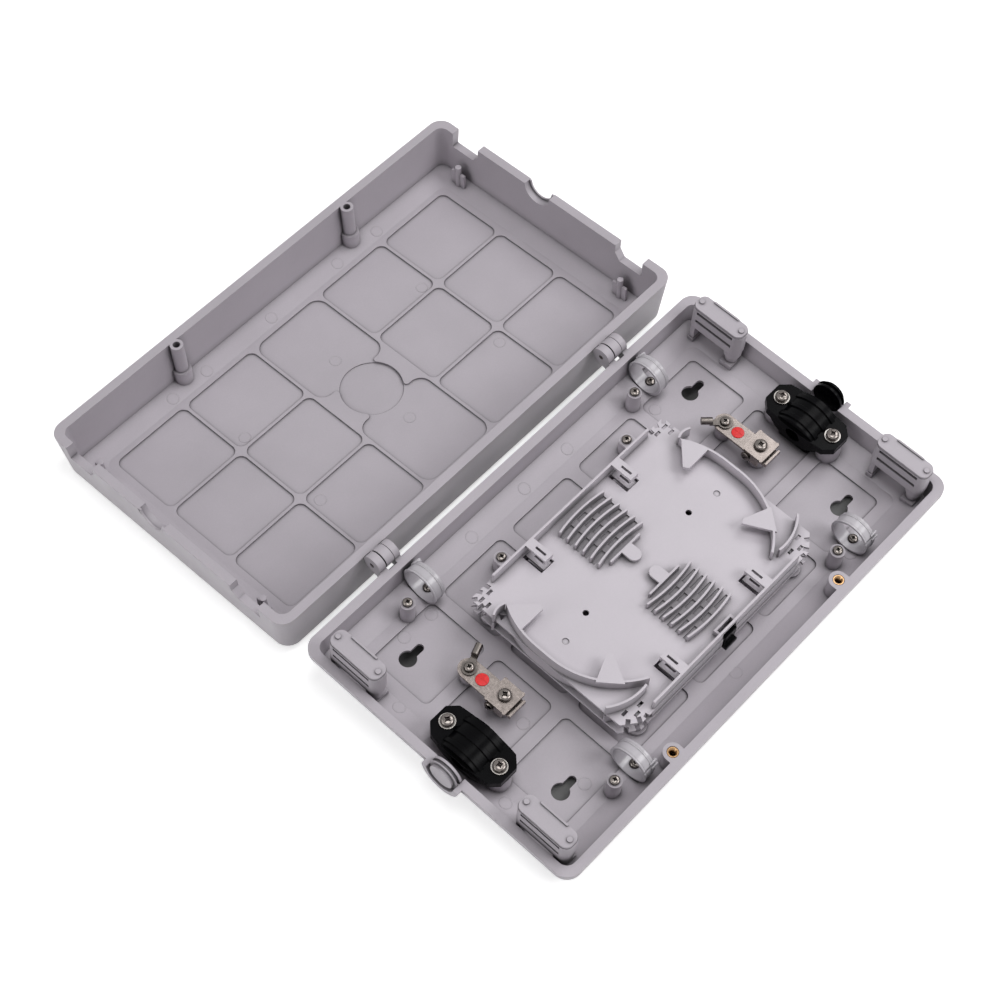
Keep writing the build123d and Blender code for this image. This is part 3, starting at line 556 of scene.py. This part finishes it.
    @staticmethod
    def copies(obj: bpy.types.Object, name: str, places: Iterable[Matrix]) -> bpy.types.Object:
        """Copies a model to several places, each with its own mesh, and joins the copies.

        Args:
            obj: The model, which is deleted.
            name: The joined object's name.
            places: A matrix for each copy.

        Returns:
            The joined object, settled at the origin.
        """
        made = []
        for place in places:
            copy = obj.copy()
            copy.data = obj.data.copy()
            bpy.context.scene.collection.objects.link(copy)
            copy.matrix_world = place @ obj.matrix_world
            made.append(Bench.settle(copy))
        bpy.data.objects.remove(obj)
        return Bench.join(name, made)

    @staticmethod
    def smooth(obj: bpy.types.Object) -> bpy.types.Object:
        """Shades an object smooth, apart from its sharp edges."""
        Bench.pick(obj)
        bpy.ops.object.shade_smooth_by_angle(angle=SMOOTH_ANGLE)
        return obj

    @staticmethod
    def dress(obj: bpy.types.Object, material: bpy.types.Material) -> bpy.types.Object:
        """Gives an object one material all over."""
        obj.data.materials.clear()
        obj.data.materials.append(material)
        return obj


class Paintshop:
    """Builds each finish once and hands out its material."""

    def __init__(self) -> None:
        """Starts with no material built."""
        self.built: dict[str, bpy.types.Material] = {}

    def of(self, finish: Moulded | Plated | Enamel) -> bpy.types.Material:
        """The material of a finish.

        Args:
            finish: The finish.

        Returns:
            Its material, the same one each time.
        """
        if finish.name not in self.built:
            self.built[finish.name] = finish.material()
        return self.built[finish.name]


def middle(node: str) -> Vector:
    """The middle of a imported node's box."""
    low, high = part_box(node)
    return (low + high) / 2


def add_piece(obj: bpy.types.Object, body: Body, material: bpy.types.Material,
              replaced: Sequence[str] = ()) -> bpy.types.Object:
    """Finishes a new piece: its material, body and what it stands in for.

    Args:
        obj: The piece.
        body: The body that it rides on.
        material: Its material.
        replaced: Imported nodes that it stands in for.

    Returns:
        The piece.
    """
    Bench.dress(Bench.smooth(obj), material)
    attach(obj, body.value)
    if replaced:
        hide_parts(*replaced)
    LOG.info("%s: %d faces on %s", obj.name, len(obj.data.polygons), body.value)
    return obj


@dataclass
class ShellFloor:
    """The floor of one shell, closed: flat in the middle, with pockets, and sloping up toward the walls.

    Heights are measured from the floor's flat land. Casing holds the height of that land.
    """

    slope: float
    flat_half: tuple[float, float] = (141.0 * MM, 75.5 * MM)
    pocketed_half: tuple[float, float] = (133.5 * MM, 68.9 * MM)
    pocket_depth: float = 1.0 * MM

    def spot(self, x: float, y: float) -> Matrix:
        """Where a flat thing lies on the floor, with z = 0 at the floor's flat land.

        Args:
            x: Its place along the hinge.
            y: Its place across.

        Returns:
            The place and tilt there.
        """
        for axis, (value, half) in enumerate(zip((x, y), self.flat_half)):
            past = abs(value) - half
            if past > 0:
                tilt = math.copysign(math.atan(self.slope), value)
                turn = Matrix.Rotation(-tilt, 4, "Y") if axis == 0 else Matrix.Rotation(tilt, 4, "X")
                return Matrix.Translation((x, y, past * self.slope)) @ turn
        inside = abs(x) < self.pocketed_half[0] and abs(y) < self.pocketed_half[1]
        return Matrix.Translation((x, y, -self.pocket_depth if inside else 0.0))


@dataclass
class Casing:
    """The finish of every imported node, and the marks on the floors of both shells."""

    paint: Paintshop
    base_floor_z: float = 3.0 * MM
    lid_floor_z: float = 53.3 * MM
    lid_swing: float = -184.5
    hinge_line: Vector = field(default_factory=lambda: Vector((0.0, 101.2, 20.0)) * MM)
    base_slope: float = 3.5 / 12.0
    lid_slope: float = 3.0 / 12.0
    mark_radius: float = 3.6 * MM
    mark_step: float = 0.11 * MM
    mark_rim: float = 0.3 * MM
    base_marks_mm: tuple = ((-43, 80), (0, 80), (36, 80), (-112, 65), (-92, 64), (92, 62), (-105, -15),
                            (-108, -61), (-144, 38), (-145, -39), (95, -78), (-5, -78))
    lid_marks_mm: tuple = ((-75, 33), (0, 31), (75, 33), (-74, -30), (0, -30), (74, -30), (-84, -80),
                           (-57, -80), (-4, -80), (52, -80), (86, -80))

    def dress_nodes(self) -> None:
        """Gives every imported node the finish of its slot."""
        slots = {part["node"]: Slot(part["material_slot"]) for part in frame["record"]["subparts"]}
        for name, node in frame["nodes"].items():
            finish = FINISH_OF_SLOT[slots[name]]
            if name.startswith("splice_tray"):
                finish = TRAY_GREY
            # The washers get the lighter copy of the zinc, painted light.
            elif name == "clamp_washers":
                finish = LIT_WASHER_ZINC
            Bench.dress(node, self.paint.of(finish))
        LOG.info("dressed %d packed nodes", len(slots))

    def mark(self) -> bpy.types.Object:
        """One round mark of an ejector pin: a low disc with a fine step round it."""
        r, h, rim = self.mark_radius, self.mark_step, self.mark_rim
        low = h * 0.3
        profile = ((r, -h), (r, h * 0.5), (r - h, h), (r - rim, h), (r - rim - h, low), (r * 0.4, low))
        return Bench.turned("mark", profile, sides=40)

    def open_lid(self) -> Matrix:
        """How the lid has swung from closed to its place at rest."""
        there = Matrix.Translation(self.hinge_line)
        return there @ Matrix.Rotation(math.radians(self.lid_swing), 4, "X") @ there.inverted()

    def build(self) -> None:
        """Adds the ejector marks on the floors of both shells."""
        base = Matrix.Translation((0, 0, self.base_floor_z))
        upside_down = Matrix.Rotation(math.pi, 4, "X")
        lid = self.open_lid() @ Matrix.Translation((0, 0, self.lid_floor_z)) @ upside_down
        base_floor, lid_floor = ShellFloor(self.base_slope), ShellFloor(self.lid_slope)
        base_places = [base @ base_floor.spot(x * MM, y * MM) for x, y in self.base_marks_mm]
        lid_places = [lid @ lid_floor.spot(x * MM, -y * MM) for x, y in self.lid_marks_mm]
        for body, places in ((Body.BASE, base_places), (Body.LID, lid_places)):
            marks = Bench.copies(self.mark(), f"{body.value}_ejector_marks", places)
            add_piece(marks, body, self.paint.of(GREY))


@dataclass(frozen=True)
class PanScrew:
    """A cross-recessed pan-head screw, standing with its seat at z = 0."""

    shank: float
    head: float
    tall: float
    pitch: float = 0.7 * MM
    point_shape: Profile = ((0.55, 0.0), (0.85, 0.4))
    first_turn: float = 0.5
    crest: float = 0.35
    valley: float = 0.85
    neck: float = 0.9
    head_shape: Profile = ((0.96, 0.0), (1.0, 0.06), (1.0, 0.42), (0.985, 0.55), (0.93, 0.70), (0.82, 0.84),
                           (0.64, 0.94), (0.35, 1.0))
    root: float = 0.84
    plain: float = 0.3 * MM
    cross_turns: tuple[float, float] = (45.0, 135.0)
    cross_reach: float = 0.62
    cross_depth: float = 0.62
    cross_width: float = 0.20
    cross_taper: tuple[float, float, float] = (0.45, 0.8, 1.0)
    tip_shape: Profile = ((0.06, 0.18), (0.27, 0.42))
    tip_mouth: float = 0.34

    def model(self, bite: float) -> bpy.types.Object:
        """Turns the screw and cuts its cross.

        Args:
            bite: How far its shank goes below the seat.

        Returns:
            The screw at the origin, seat at z = 0.
        """
        s = self.shank
        profile = [(s * across, s * up - bite) for across, up in self.point_shape]
        z = s * self.first_turn - bite
        while z + self.pitch < -self.plain:
            profile += [(s, z + self.pitch * self.crest), (s * self.root, z + self.pitch * self.valley)]
            z += self.pitch
        profile.append((s * self.neck, 0.0))
        profile += [(self.head * across, self.tall * up) for across, up in self.head_shape]
        screw = Bench.turned("screw", profile, sides=56)
        return Bench.cut(screw, self.cross())

    def cross(self) -> bpy.types.Object:
        """The tapered cross that the driver fits.

        Returns:
            The cutter, round the head's top.
        """
        depth, above = self.tall * self.cross_depth, 0.4 * MM
        size = (2 * self.head * self.cross_reach, self.head * self.cross_width, depth + above)
        arms = []
        for turn in self.cross_turns:
            arm = Bench.block("arm", size, (0, 0, self.tall - depth / 2 + above / 2))
            bpy.ops.object.mode_set(mode="EDIT")
            bpy.ops.mesh.select_all(action="DESELECT")
            bpy.ops.object.mode_set(mode="OBJECT")
            for face in arm.data.polygons:
                face.select = face.normal.z < -0.5
            bpy.ops.object.mode_set(mode="EDIT")
            bpy.ops.transform.resize(value=self.cross_taper, center_override=(0, 0, 0))
            bpy.ops.object.mode_set(mode="OBJECT")
            arm.rotation_euler = (0, 0, math.radians(turn))
            arms.append(Bench.settle(arm))
        profile = [(self.head * across, self.tall * up) for across, up in self.tip_shape]
        profile.append((self.head * self.tip_mouth, self.tall + 0.3 * MM))
        tip = Bench.turned("tip", profile, sides=24)
        return Bench.weld(Bench.weld(arms[0], arms[1]), tip)


@dataclass(frozen=True)
class Sleeve:
    """A threaded brass sleeve with one groove round it, standing on z = 0."""

    outer: float
    tall: float
    bore: float = 1.65 * MM
    pitch: float = 0.7 * MM
    thread: float = 0.33 * MM
    chamfer: float = 0.25 * MM
    groove_depth: float = 0.5 * MM
    groove_top: float = 2.6 * MM
    groove_low: float = 3.4 * MM
    groove_side: float = 0.1 * MM
    lip: float = 0.3 * MM
    mouth: float = 0.75 * MM
    first_turn: float = 0.45 * MM

    def model(self) -> bpy.types.Object:
        """Turns the sleeve.

        Returns:
            The sleeve at the origin.
        """
        outer, tall, bore, inside = self.outer, self.tall, self.bore, self.outer - self.groove_depth
        profile = [(outer - self.chamfer, 0.0), (outer, self.chamfer), (outer, tall - self.groove_low),
                   (inside, tall - self.groove_low + self.groove_side),
                   (inside, tall - self.groove_top - self.groove_side), (outer, tall - self.groove_top),
                   (outer, tall - self.lip), (outer - self.lip, tall), (bore + self.mouth, tall)]
        z = tall - self.first_turn
        while z > self.pitch:
            profile += [(bore + self.thread, z), (bore, z - self.pitch / 2)]
            z -= self.pitch
        profile.append((bore + self.lip, 0.0))
        return Bench.turned("sleeve", profile, sides=40, closed=True)


CROSS_TURNS = {
    "clamp_screws": (12, 52, 33, 70),
    "saddle_screws": (38, 8),
    "pillar_screws": (20, 64, 41, 5),
    "ring_screws": (33, 70, 10, 51),
    "tray_screws": (25, 60),
    "earth_screws": (15, 48),
}
MACHINE_SCREWS = ("clamp_screws", "saddle_screws")


@dataclass
class Hardware:
    """Screws and sleeves, finely turned to stand in for the plain packed ones."""

    paint: Paintshop
    machine: PanScrew = PanScrew(2.0 * MM, 3.7 * MM, 2.5 * MM)
    small: PanScrew = PanScrew(1.5 * MM, 2.8 * MM, 1.9 * MM, pitch=0.6 * MM)
    solid_reach: float = 16 * MM

    def spots(self, node: str) -> list[Vector]:
        """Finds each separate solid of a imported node.

        Args:
            node: The node's name.

        Returns:
            The foot point of each solid's upright axis: the middle of its box in plan, at its lowest height.
        """
        mesh = frame["nodes"][node].data
        clusters: list[list[Vector]] = []
        for vertex in mesh.vertices:
            for cluster in clusters:
                if (cluster[0] - vertex.co).length < self.solid_reach:
                    cluster.append(vertex.co)
                    break
            else:
                clusters.append([vertex.co])
        found = []
        for cluster in clusters:
            low = Vector(min(point[axis] for point in cluster) for axis in range(3))
            high = Vector(max(point[axis] for point in cluster) for axis in range(3))
            found.append(Vector(((low.x + high.x) / 2, (low.y + high.y) / 2, low.z)))
        return found

    def stand_in(self, node: str, screw: PanScrew, turns: Sequence[float]) -> None:
        """Puts fine screws in the place of a node of plain ones.

        Args:
            node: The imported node.
            screw: The screw to use.
            turns: How far each cross is turned, in degrees.
        """
        spots = self.spots(node)
        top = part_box(node)[1].z
        seat = top - screw.tall
        places = [Matrix.Translation((spot.x, spot.y, seat)) @ Matrix.Rotation(math.radians(turn), 4, "Z")
                  for spot, turn in zip(spots, turns)]
        fine = Bench.copies(screw.model(seat - spots[0].z), f"{node}_fine", places)
        add_piece(fine, Body.BASE, self.paint.of(ZINC), [node])

    def sleeve(self, side: str) -> None:
        """Turns a threaded brass sleeve in the place of a plain one.

        Args:
            side: left or right.
        """
        node = f"threaded_insert_{side}"
        low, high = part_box(node)
        centre = (low + high) / 2
        sleeve = Sleeve((high.x - low.x) / 2, high.z - low.z).model()
        place = Matrix.Translation((centre.x, centre.y, low.z))
        fine = Bench.copies(sleeve, f"{node}_fine", [place])
        add_piece(fine, Body.BASE, self.paint.of(TURNED_BRASS), [node])

    def build(self) -> None:
        """Builds all the hardware."""
        for node, turns in CROSS_TURNS.items():
            self.stand_in(node, self.machine if node in MACHINE_SCREWS else self.small, turns)
        for side in ("left", "right"):
            self.sleeve(side)


@dataclass
class GuideRings:
    """The short hoops that guide the fibres, each on a foot that its screw holds down.

    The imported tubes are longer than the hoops, so each hoop stands in for its tube, at the tube's near end.
    """

    paint: Paintshop
    hoop_long: float = 8.2 * MM
    wall: float = 1.1 * MM
    lip: float = 0.4 * MM
    lip_long: float = 0.9 * MM
    edge: float = 0.3 * MM
    band_at: float = 5.4 * MM
    band_long: float = 1.0 * MM
    foot_half: float = 4.2 * MM
    foot_thick: float = 0.8 * MM
    foot_start: float = 1.0 * MM
    head_room: float = 3.0 * MM
    shank_room: float = 1.7 * MM
    slit_wide: float = 1.6 * MM
    slit_angle: float = 62.0
    finger: tuple[float, float, float] = (5.0 * MM, 1.3 * MM, 2.2 * MM)
    finger_spread: float = 7.5
    finger_at: float = 7.6 * MM
    finger_sink: float = 0.5 * MM

    def hoop(self, radius: float) -> bpy.types.Object:
        """Turns the hoop, lying along X from x = 0, its axis at the origin's height.

        Args:
            radius: Its outer radius.

        Returns:
            The hoop, with a rolled near lip and a low band near its far end.
        """
        r, inside, lip, edge, long = radius, radius - self.wall, radius + self.lip, self.edge, self.hoop_long
        band, band_end, slope = self.band_at, self.band_at + self.band_long, self.band_long / 4
        profile = ((inside, 0.0), (r - self.wall / 2, -self.lip * 0.4), (lip, 0.0), (lip, self.lip_long),
                   (r, self.lip_long + edge), (r, band), (r + edge, band + slope),
                   (r + edge, band_end - slope), (r, band_end), (r, long - edge), (r - edge, long),
                   (inside, long), (inside, long / 2))
        hoop = Bench.turned("hoop", profile, sides=96, closed=True)
        hoop.matrix_world = Matrix.Rotation(math.pi / 2, 4, "Y")
        return Bench.settle(hoop)

    def foot(self, radius: float, reach: float) -> bpy.types.Object:
        """The flat foot under the hoop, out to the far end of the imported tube.

        Args:
            radius: The hoop's outer radius.
            reach: How far along X it goes.

        Returns:
            The bevelled foot.
        """
        size = (reach - self.foot_start, 2 * self.foot_half, self.foot_thick)
        centre = ((reach + self.foot_start) / 2, 0.0, -radius + self.foot_thick / 2)
        return Bench.bevel(Bench.block("foot", size, centre), self.edge)

    def bore(self, wide: float, low: float, at: float) -> bpy.types.Object:
        """A round cutter that stands upright, from a height up to the ring's middle.

        Args:
            wide: Its radius.
            low: Its lowest height.
            at: Its place along X.

        Returns:
            The cutter.
        """
        cutter = Bench.turned("bore", ((wide, low), (wide, 0.0)), sides=32)
        cutter.location = (at, 0, 0)
        return Bench.settle(cutter)

    def fingers(self, radius: float, away: float) -> list[bpy.types.Object]:
        """Two small fingers that stand beside the slit, toward the long wall.

        Args:
            radius: The hoop's outer radius.
            away: 1 where the long wall is toward +Y, -1 where it is toward -Y.

        Returns:
            The fingers.
        """
        made = []
        for shift in (-1.0, 1.0):
            finger = Bench.bevel(Bench.block("finger", self.finger, (0, 0, 0)), self.edge)
            angle = math.radians(self.slit_angle + shift * self.finger_spread) * away
            out = Matrix.Translation((self.finger_at, 0, radius - self.finger_sink))
            finger.matrix_world = Matrix.Rotation(-angle, 4, "X") @ out
            made.append(Bench.settle(finger))
        return made

    def ring(self, radius: float, reach: float, away: float) -> bpy.types.Object:
        """One hoop with its slit, foot and fingers.

        Args:
            radius: The hoop's outer radius.
            reach: How far along X the foot goes.
            away: 1 where the long wall is toward +Y, -1 where it is toward -Y.

        Returns:
            The ring, lying along X from x = 0.
        """
        hoop, foot = self.hoop(radius), self.foot(radius, reach)
        slit = Bench.block("slit", (4 * self.hoop_long, self.slit_wide, 3 * self.wall), (0, 0, radius))
        slit.matrix_world = Matrix.Rotation(-math.radians(self.slit_angle) * away, 4, "X")
        Bench.cut(hoop, Bench.settle(slit))
        Bench.cut(hoop, self.bore(self.head_room, self.foot_thick - radius, reach / 2))
        for piece in (hoop, foot):
            Bench.cut(piece, self.bore(self.shank_room, -2 * radius, reach / 2))
        return Bench.join("ring", [hoop, foot, *self.fingers(radius, away)])

    def build(self) -> None:
        """Builds the four hoops."""
        for row in ("rear", "front"):
            for side in ("left", "right"):
                node = f"guide_ring_{row}_{side}"
                low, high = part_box(node)
                centre_y = (low.y + high.y) / 2
                radius = (high.y - low.y) / 2 - self.lip
                ring = self.ring(radius, high.x - low.x, math.copysign(1.0, centre_y))
                place = Matrix.Translation((low.x, centre_y, high.z - radius - self.lip))
                fine = Bench.copies(ring, f"{node}_fine", [place])
                add_piece(fine, Body.BASE, self.paint.of(RING_GREY), [node])


@dataclass
class MarkingDots:
    """The red drops between the screws of each earth plate, with a cross pressed into them."""

    paint: Paintshop
    radius: float = 3.7 * MM
    tall: float = 0.45 * MM
    y: float = 14.2 * MM
    plate_top: float = 14.7 * MM
    shape: Profile = ((0.97, 0.0), (1.0, 0.4), (0.93, 0.85), (0.7, 1.0), (0.3, 1.02))
    cross: tuple[float, float] = (1.7, 0.16)

    def drop(self) -> bpy.types.Object:
        """Turns one drop and presses its cross.

        Returns:
            The drop at the origin.
        """
        drop = Bench.turned("drop", [(self.radius * r, self.tall * z) for r, z in self.shape], sides=36)
        long, wide = (self.radius * share for share in self.cross)
        for size in ((long, wide, self.tall), (wide, long, self.tall)):
            Bench.cut(drop, Bench.block("groove", size, (0, 0, self.tall)))
        return drop

    def build(self) -> None:
        """Adds one drop on each plate."""
        for side in ("left", "right"):
            place = Matrix.Translation((middle(f"earth_plate_{side}").x, self.y, self.plate_top))
            fine = Bench.copies(self.drop(), f"earth_dot_{side}", [place])
            add_piece(fine, Body.BASE, self.paint.of(RED_PAINT))


@dataclass
class Studio:
    """Floor, lights, white surroundings and the camera."""

    azimuth: float = -51.607
    elevation: float = 60.188
    roll: float = 4.908
    aim: Vector = field(default_factory=lambda: Vector((-21.464, 79.560, 19.0)) * MM)
    distance: float = 1170.4 * MM
    lens: float = 76.817
    sensor: float = 36.0
    floor_tilt: float = -4.5
    floor_edge_y: float = -84.0 * MM
    ambient: float = 0.19
    reach: float = 1.9
    lamp_size: float = 0.8
    lamps: tuple = (("key_lamp", (0.6, -0.9, 1.2), 12.0), ("far_lamp", (1.0, 0.0, 1.2), 8.4),
                    ("top_lamp", (0.0, 0.0, 1.0), 9.3), ("low_lamp", (-1.2, 0.4, 0.5), 5.7),
                    ("rear_lamp", (-0.8, 0.8, 1.2), 2.5))
    # Half sizes of the painted shadow under the base.
    painted_shadow_half: tuple[float, float] = (150.0 * MM, 84.0 * MM)
    floor_size: float = 8.0
    floor_drop: float = 0.4 * MM
    floor_tone: float = 0.86
    # Tone of the painted shadow under the base.
    painted_shadow_tone: float = 0.16
    floor_glow: float = 0.6

    def camera(self) -> None:
        """Sets the camera where the photograph was taken from."""
        a, e = math.radians(self.azimuth), math.radians(self.elevation)
        back = Vector((math.sin(a) * math.cos(e), -math.cos(a) * math.cos(e), math.sin(e)))
        data = bpy.data.cameras.new("camera")
        data.lens, data.sensor_width = self.lens, self.sensor
        data.clip_start, data.clip_end = 0.05, 20.0
        camera = bpy.data.objects.new("camera", data)
        bpy.context.scene.collection.objects.link(camera)
        camera.rotation_mode = "QUATERNION"
        camera.location = self.aim + back * self.distance
        level = (-back).to_track_quat("-Z", "Y")
        camera.rotation_quaternion = level @ Quaternion((0, 0, 1), math.radians(self.roll))
        bpy.context.scene.camera = camera

    def lamp(self, name: str, toward: Sequence[float], watts: float) -> None:
        """Adds a soft square lamp that faces the object.

        Args:
            name: Its name.
            toward: The direction in which it stands.
            watts: Its power.
        """
        data = bpy.data.lights.new(name, "AREA")
        data.size, data.energy = self.lamp_size, watts
        lamp = bpy.data.objects.new(name, data)
        bpy.context.scene.collection.objects.link(lamp)
        lamp.location = Vector(toward).normalized() * self.reach
        lamp.rotation_mode = "QUATERNION"
        lamp.rotation_quaternion = (self.aim - lamp.location).to_track_quat("-Z", "Y")

    def surroundings(self) -> None:
        """Makes the world white to the camera, and soft and plain to the surfaces."""
        world = bpy.data.worlds.new("surroundings")
        bpy.context.scene.world = world
        world.use_nodes = True
        tree = world.node_tree
        tree.nodes.clear()
        seen = tree.nodes.new("ShaderNodeBackground")
        seen.inputs["Color"].default_value = (1, 1, 1, 1)
        felt = tree.nodes.new("ShaderNodeBackground")
        felt.inputs["Color"].default_value = (1, 1, 1, 1)
        felt.inputs["Strength"].default_value = self.ambient
        path = tree.nodes.new("ShaderNodeLightPath")
        direct = path.outputs["Is Camera Ray"]
        for other in ("Is Glossy Ray", "Is Transmission Ray"):
            either = tree.nodes.new("ShaderNodeMath")
            either.operation = "MAXIMUM"
            tree.links.new(direct, either.inputs[0])
            tree.links.new(path.outputs[other], either.inputs[1])
            direct = either.outputs[0]
        mix = tree.nodes.new("ShaderNodeMixShader")
        tree.links.new(direct, mix.inputs["Fac"])
        tree.links.new(felt.outputs[0], mix.inputs[1])
        tree.links.new(seen.outputs[0], mix.inputs[2])
        out = tree.nodes.new("ShaderNodeOutputWorld")
        tree.links.new(mix.outputs[0], out.inputs["Surface"])

    def floor(self) -> None:
        """Lays the pale floor that the lid and the base's screw side rest on, with a painted shadow: a dark
        patch without glow under the base's footprint.
        """
        Bench.clear()
        bpy.ops.mesh.primitive_plane_add(size=self.floor_size)
        floor = bpy.context.object
        floor.name = "floor"
        floor.rotation_euler = Euler((math.radians(self.floor_tilt), 0, 0))
        floor.location = (0, self.floor_edge_y, -self.floor_drop)
        g = Graph("floor_white")
        where = g.add("ShaderNodeSeparateXYZ", {"Vector": g.place})
        half_x, half_y = self.painted_shadow_half
        # Painted shadow: inside the base's footprint the floor is dark and does not glow.
        along = g.add("ShaderNodeMath", {0: where.outputs["X"], 1: 0.0, 2: half_x}, operation="COMPARE")
        across = g.add("ShaderNodeMath", {0: where.outputs["Y"], 1: half_y, 2: half_y}, operation="COMPARE")
        under = g.product(along.outputs[0], across.outputs[0])
        tone = g.spread(under, self.floor_tone, self.painted_shadow_tone, 0.0, 1.0)
        pale = g.add("ShaderNodeBsdfDiffuse", {"Color": g.tinted((1.0, 1.0, 1.0), tone)})
        white = g.add("ShaderNodeEmission", {"Color": (1, 1, 1, 1), "Strength": self.floor_glow})
        path = g.add("ShaderNodeLightPath")
        seen = g.add("ShaderNodeMath", {0: path.outputs["Is Camera Ray"], 1: path.outputs["Is Glossy Ray"]},
                     operation="MAXIMUM")
        # The floor glows white to the camera and in reflections, except in the painted shadow.
        glow_outside_painted_shadow = g.product(seen.outputs[0], g.spread(under, 1.0, 0.0, 0.0, 1.0))
        lit = g.add("ShaderNodeAddShader", {0: pale.outputs[0], 1: white.outputs[0]})
        mixed = g.add("ShaderNodeMixShader", {"Fac": glow_outside_painted_shadow, 1: pale.outputs[0], 2: lit.outputs[0]})
        below = g.add("ShaderNodeNewGeometry").outputs["Backfacing"]
        clear = g.add("ShaderNodeBsdfTransparent")
        sided = g.add("ShaderNodeMixShader", {"Fac": below, 1: mixed.outputs[0], 2: clear.outputs[0]})
        g.add("ShaderNodeOutputMaterial", {"Surface": sided.outputs[0]})
        Bench.dress(floor, g.material)

    def build(self) -> None:
        """Sets up the whole studio."""
        self.camera()
        self.surroundings()
        self.floor()
        for name, toward, watts in self.lamps:
            self.lamp(name, toward, watts)
        bpy.context.scene.view_settings.view_transform = "Standard"


def main() -> None:
    """Builds the whole picture in order."""
    logging.basicConfig(level=logging.INFO, format="%(name)s: %(message)s")
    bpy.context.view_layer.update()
    paint = Paintshop()
    casing = Casing(paint)
    casing.dress_nodes()
    casing.build()
    Hardware(paint).build()
    GuideRings(paint).build()
    MarkingDots(paint).build()
    Studio().build()


if __name__ == "__main__":
    main()
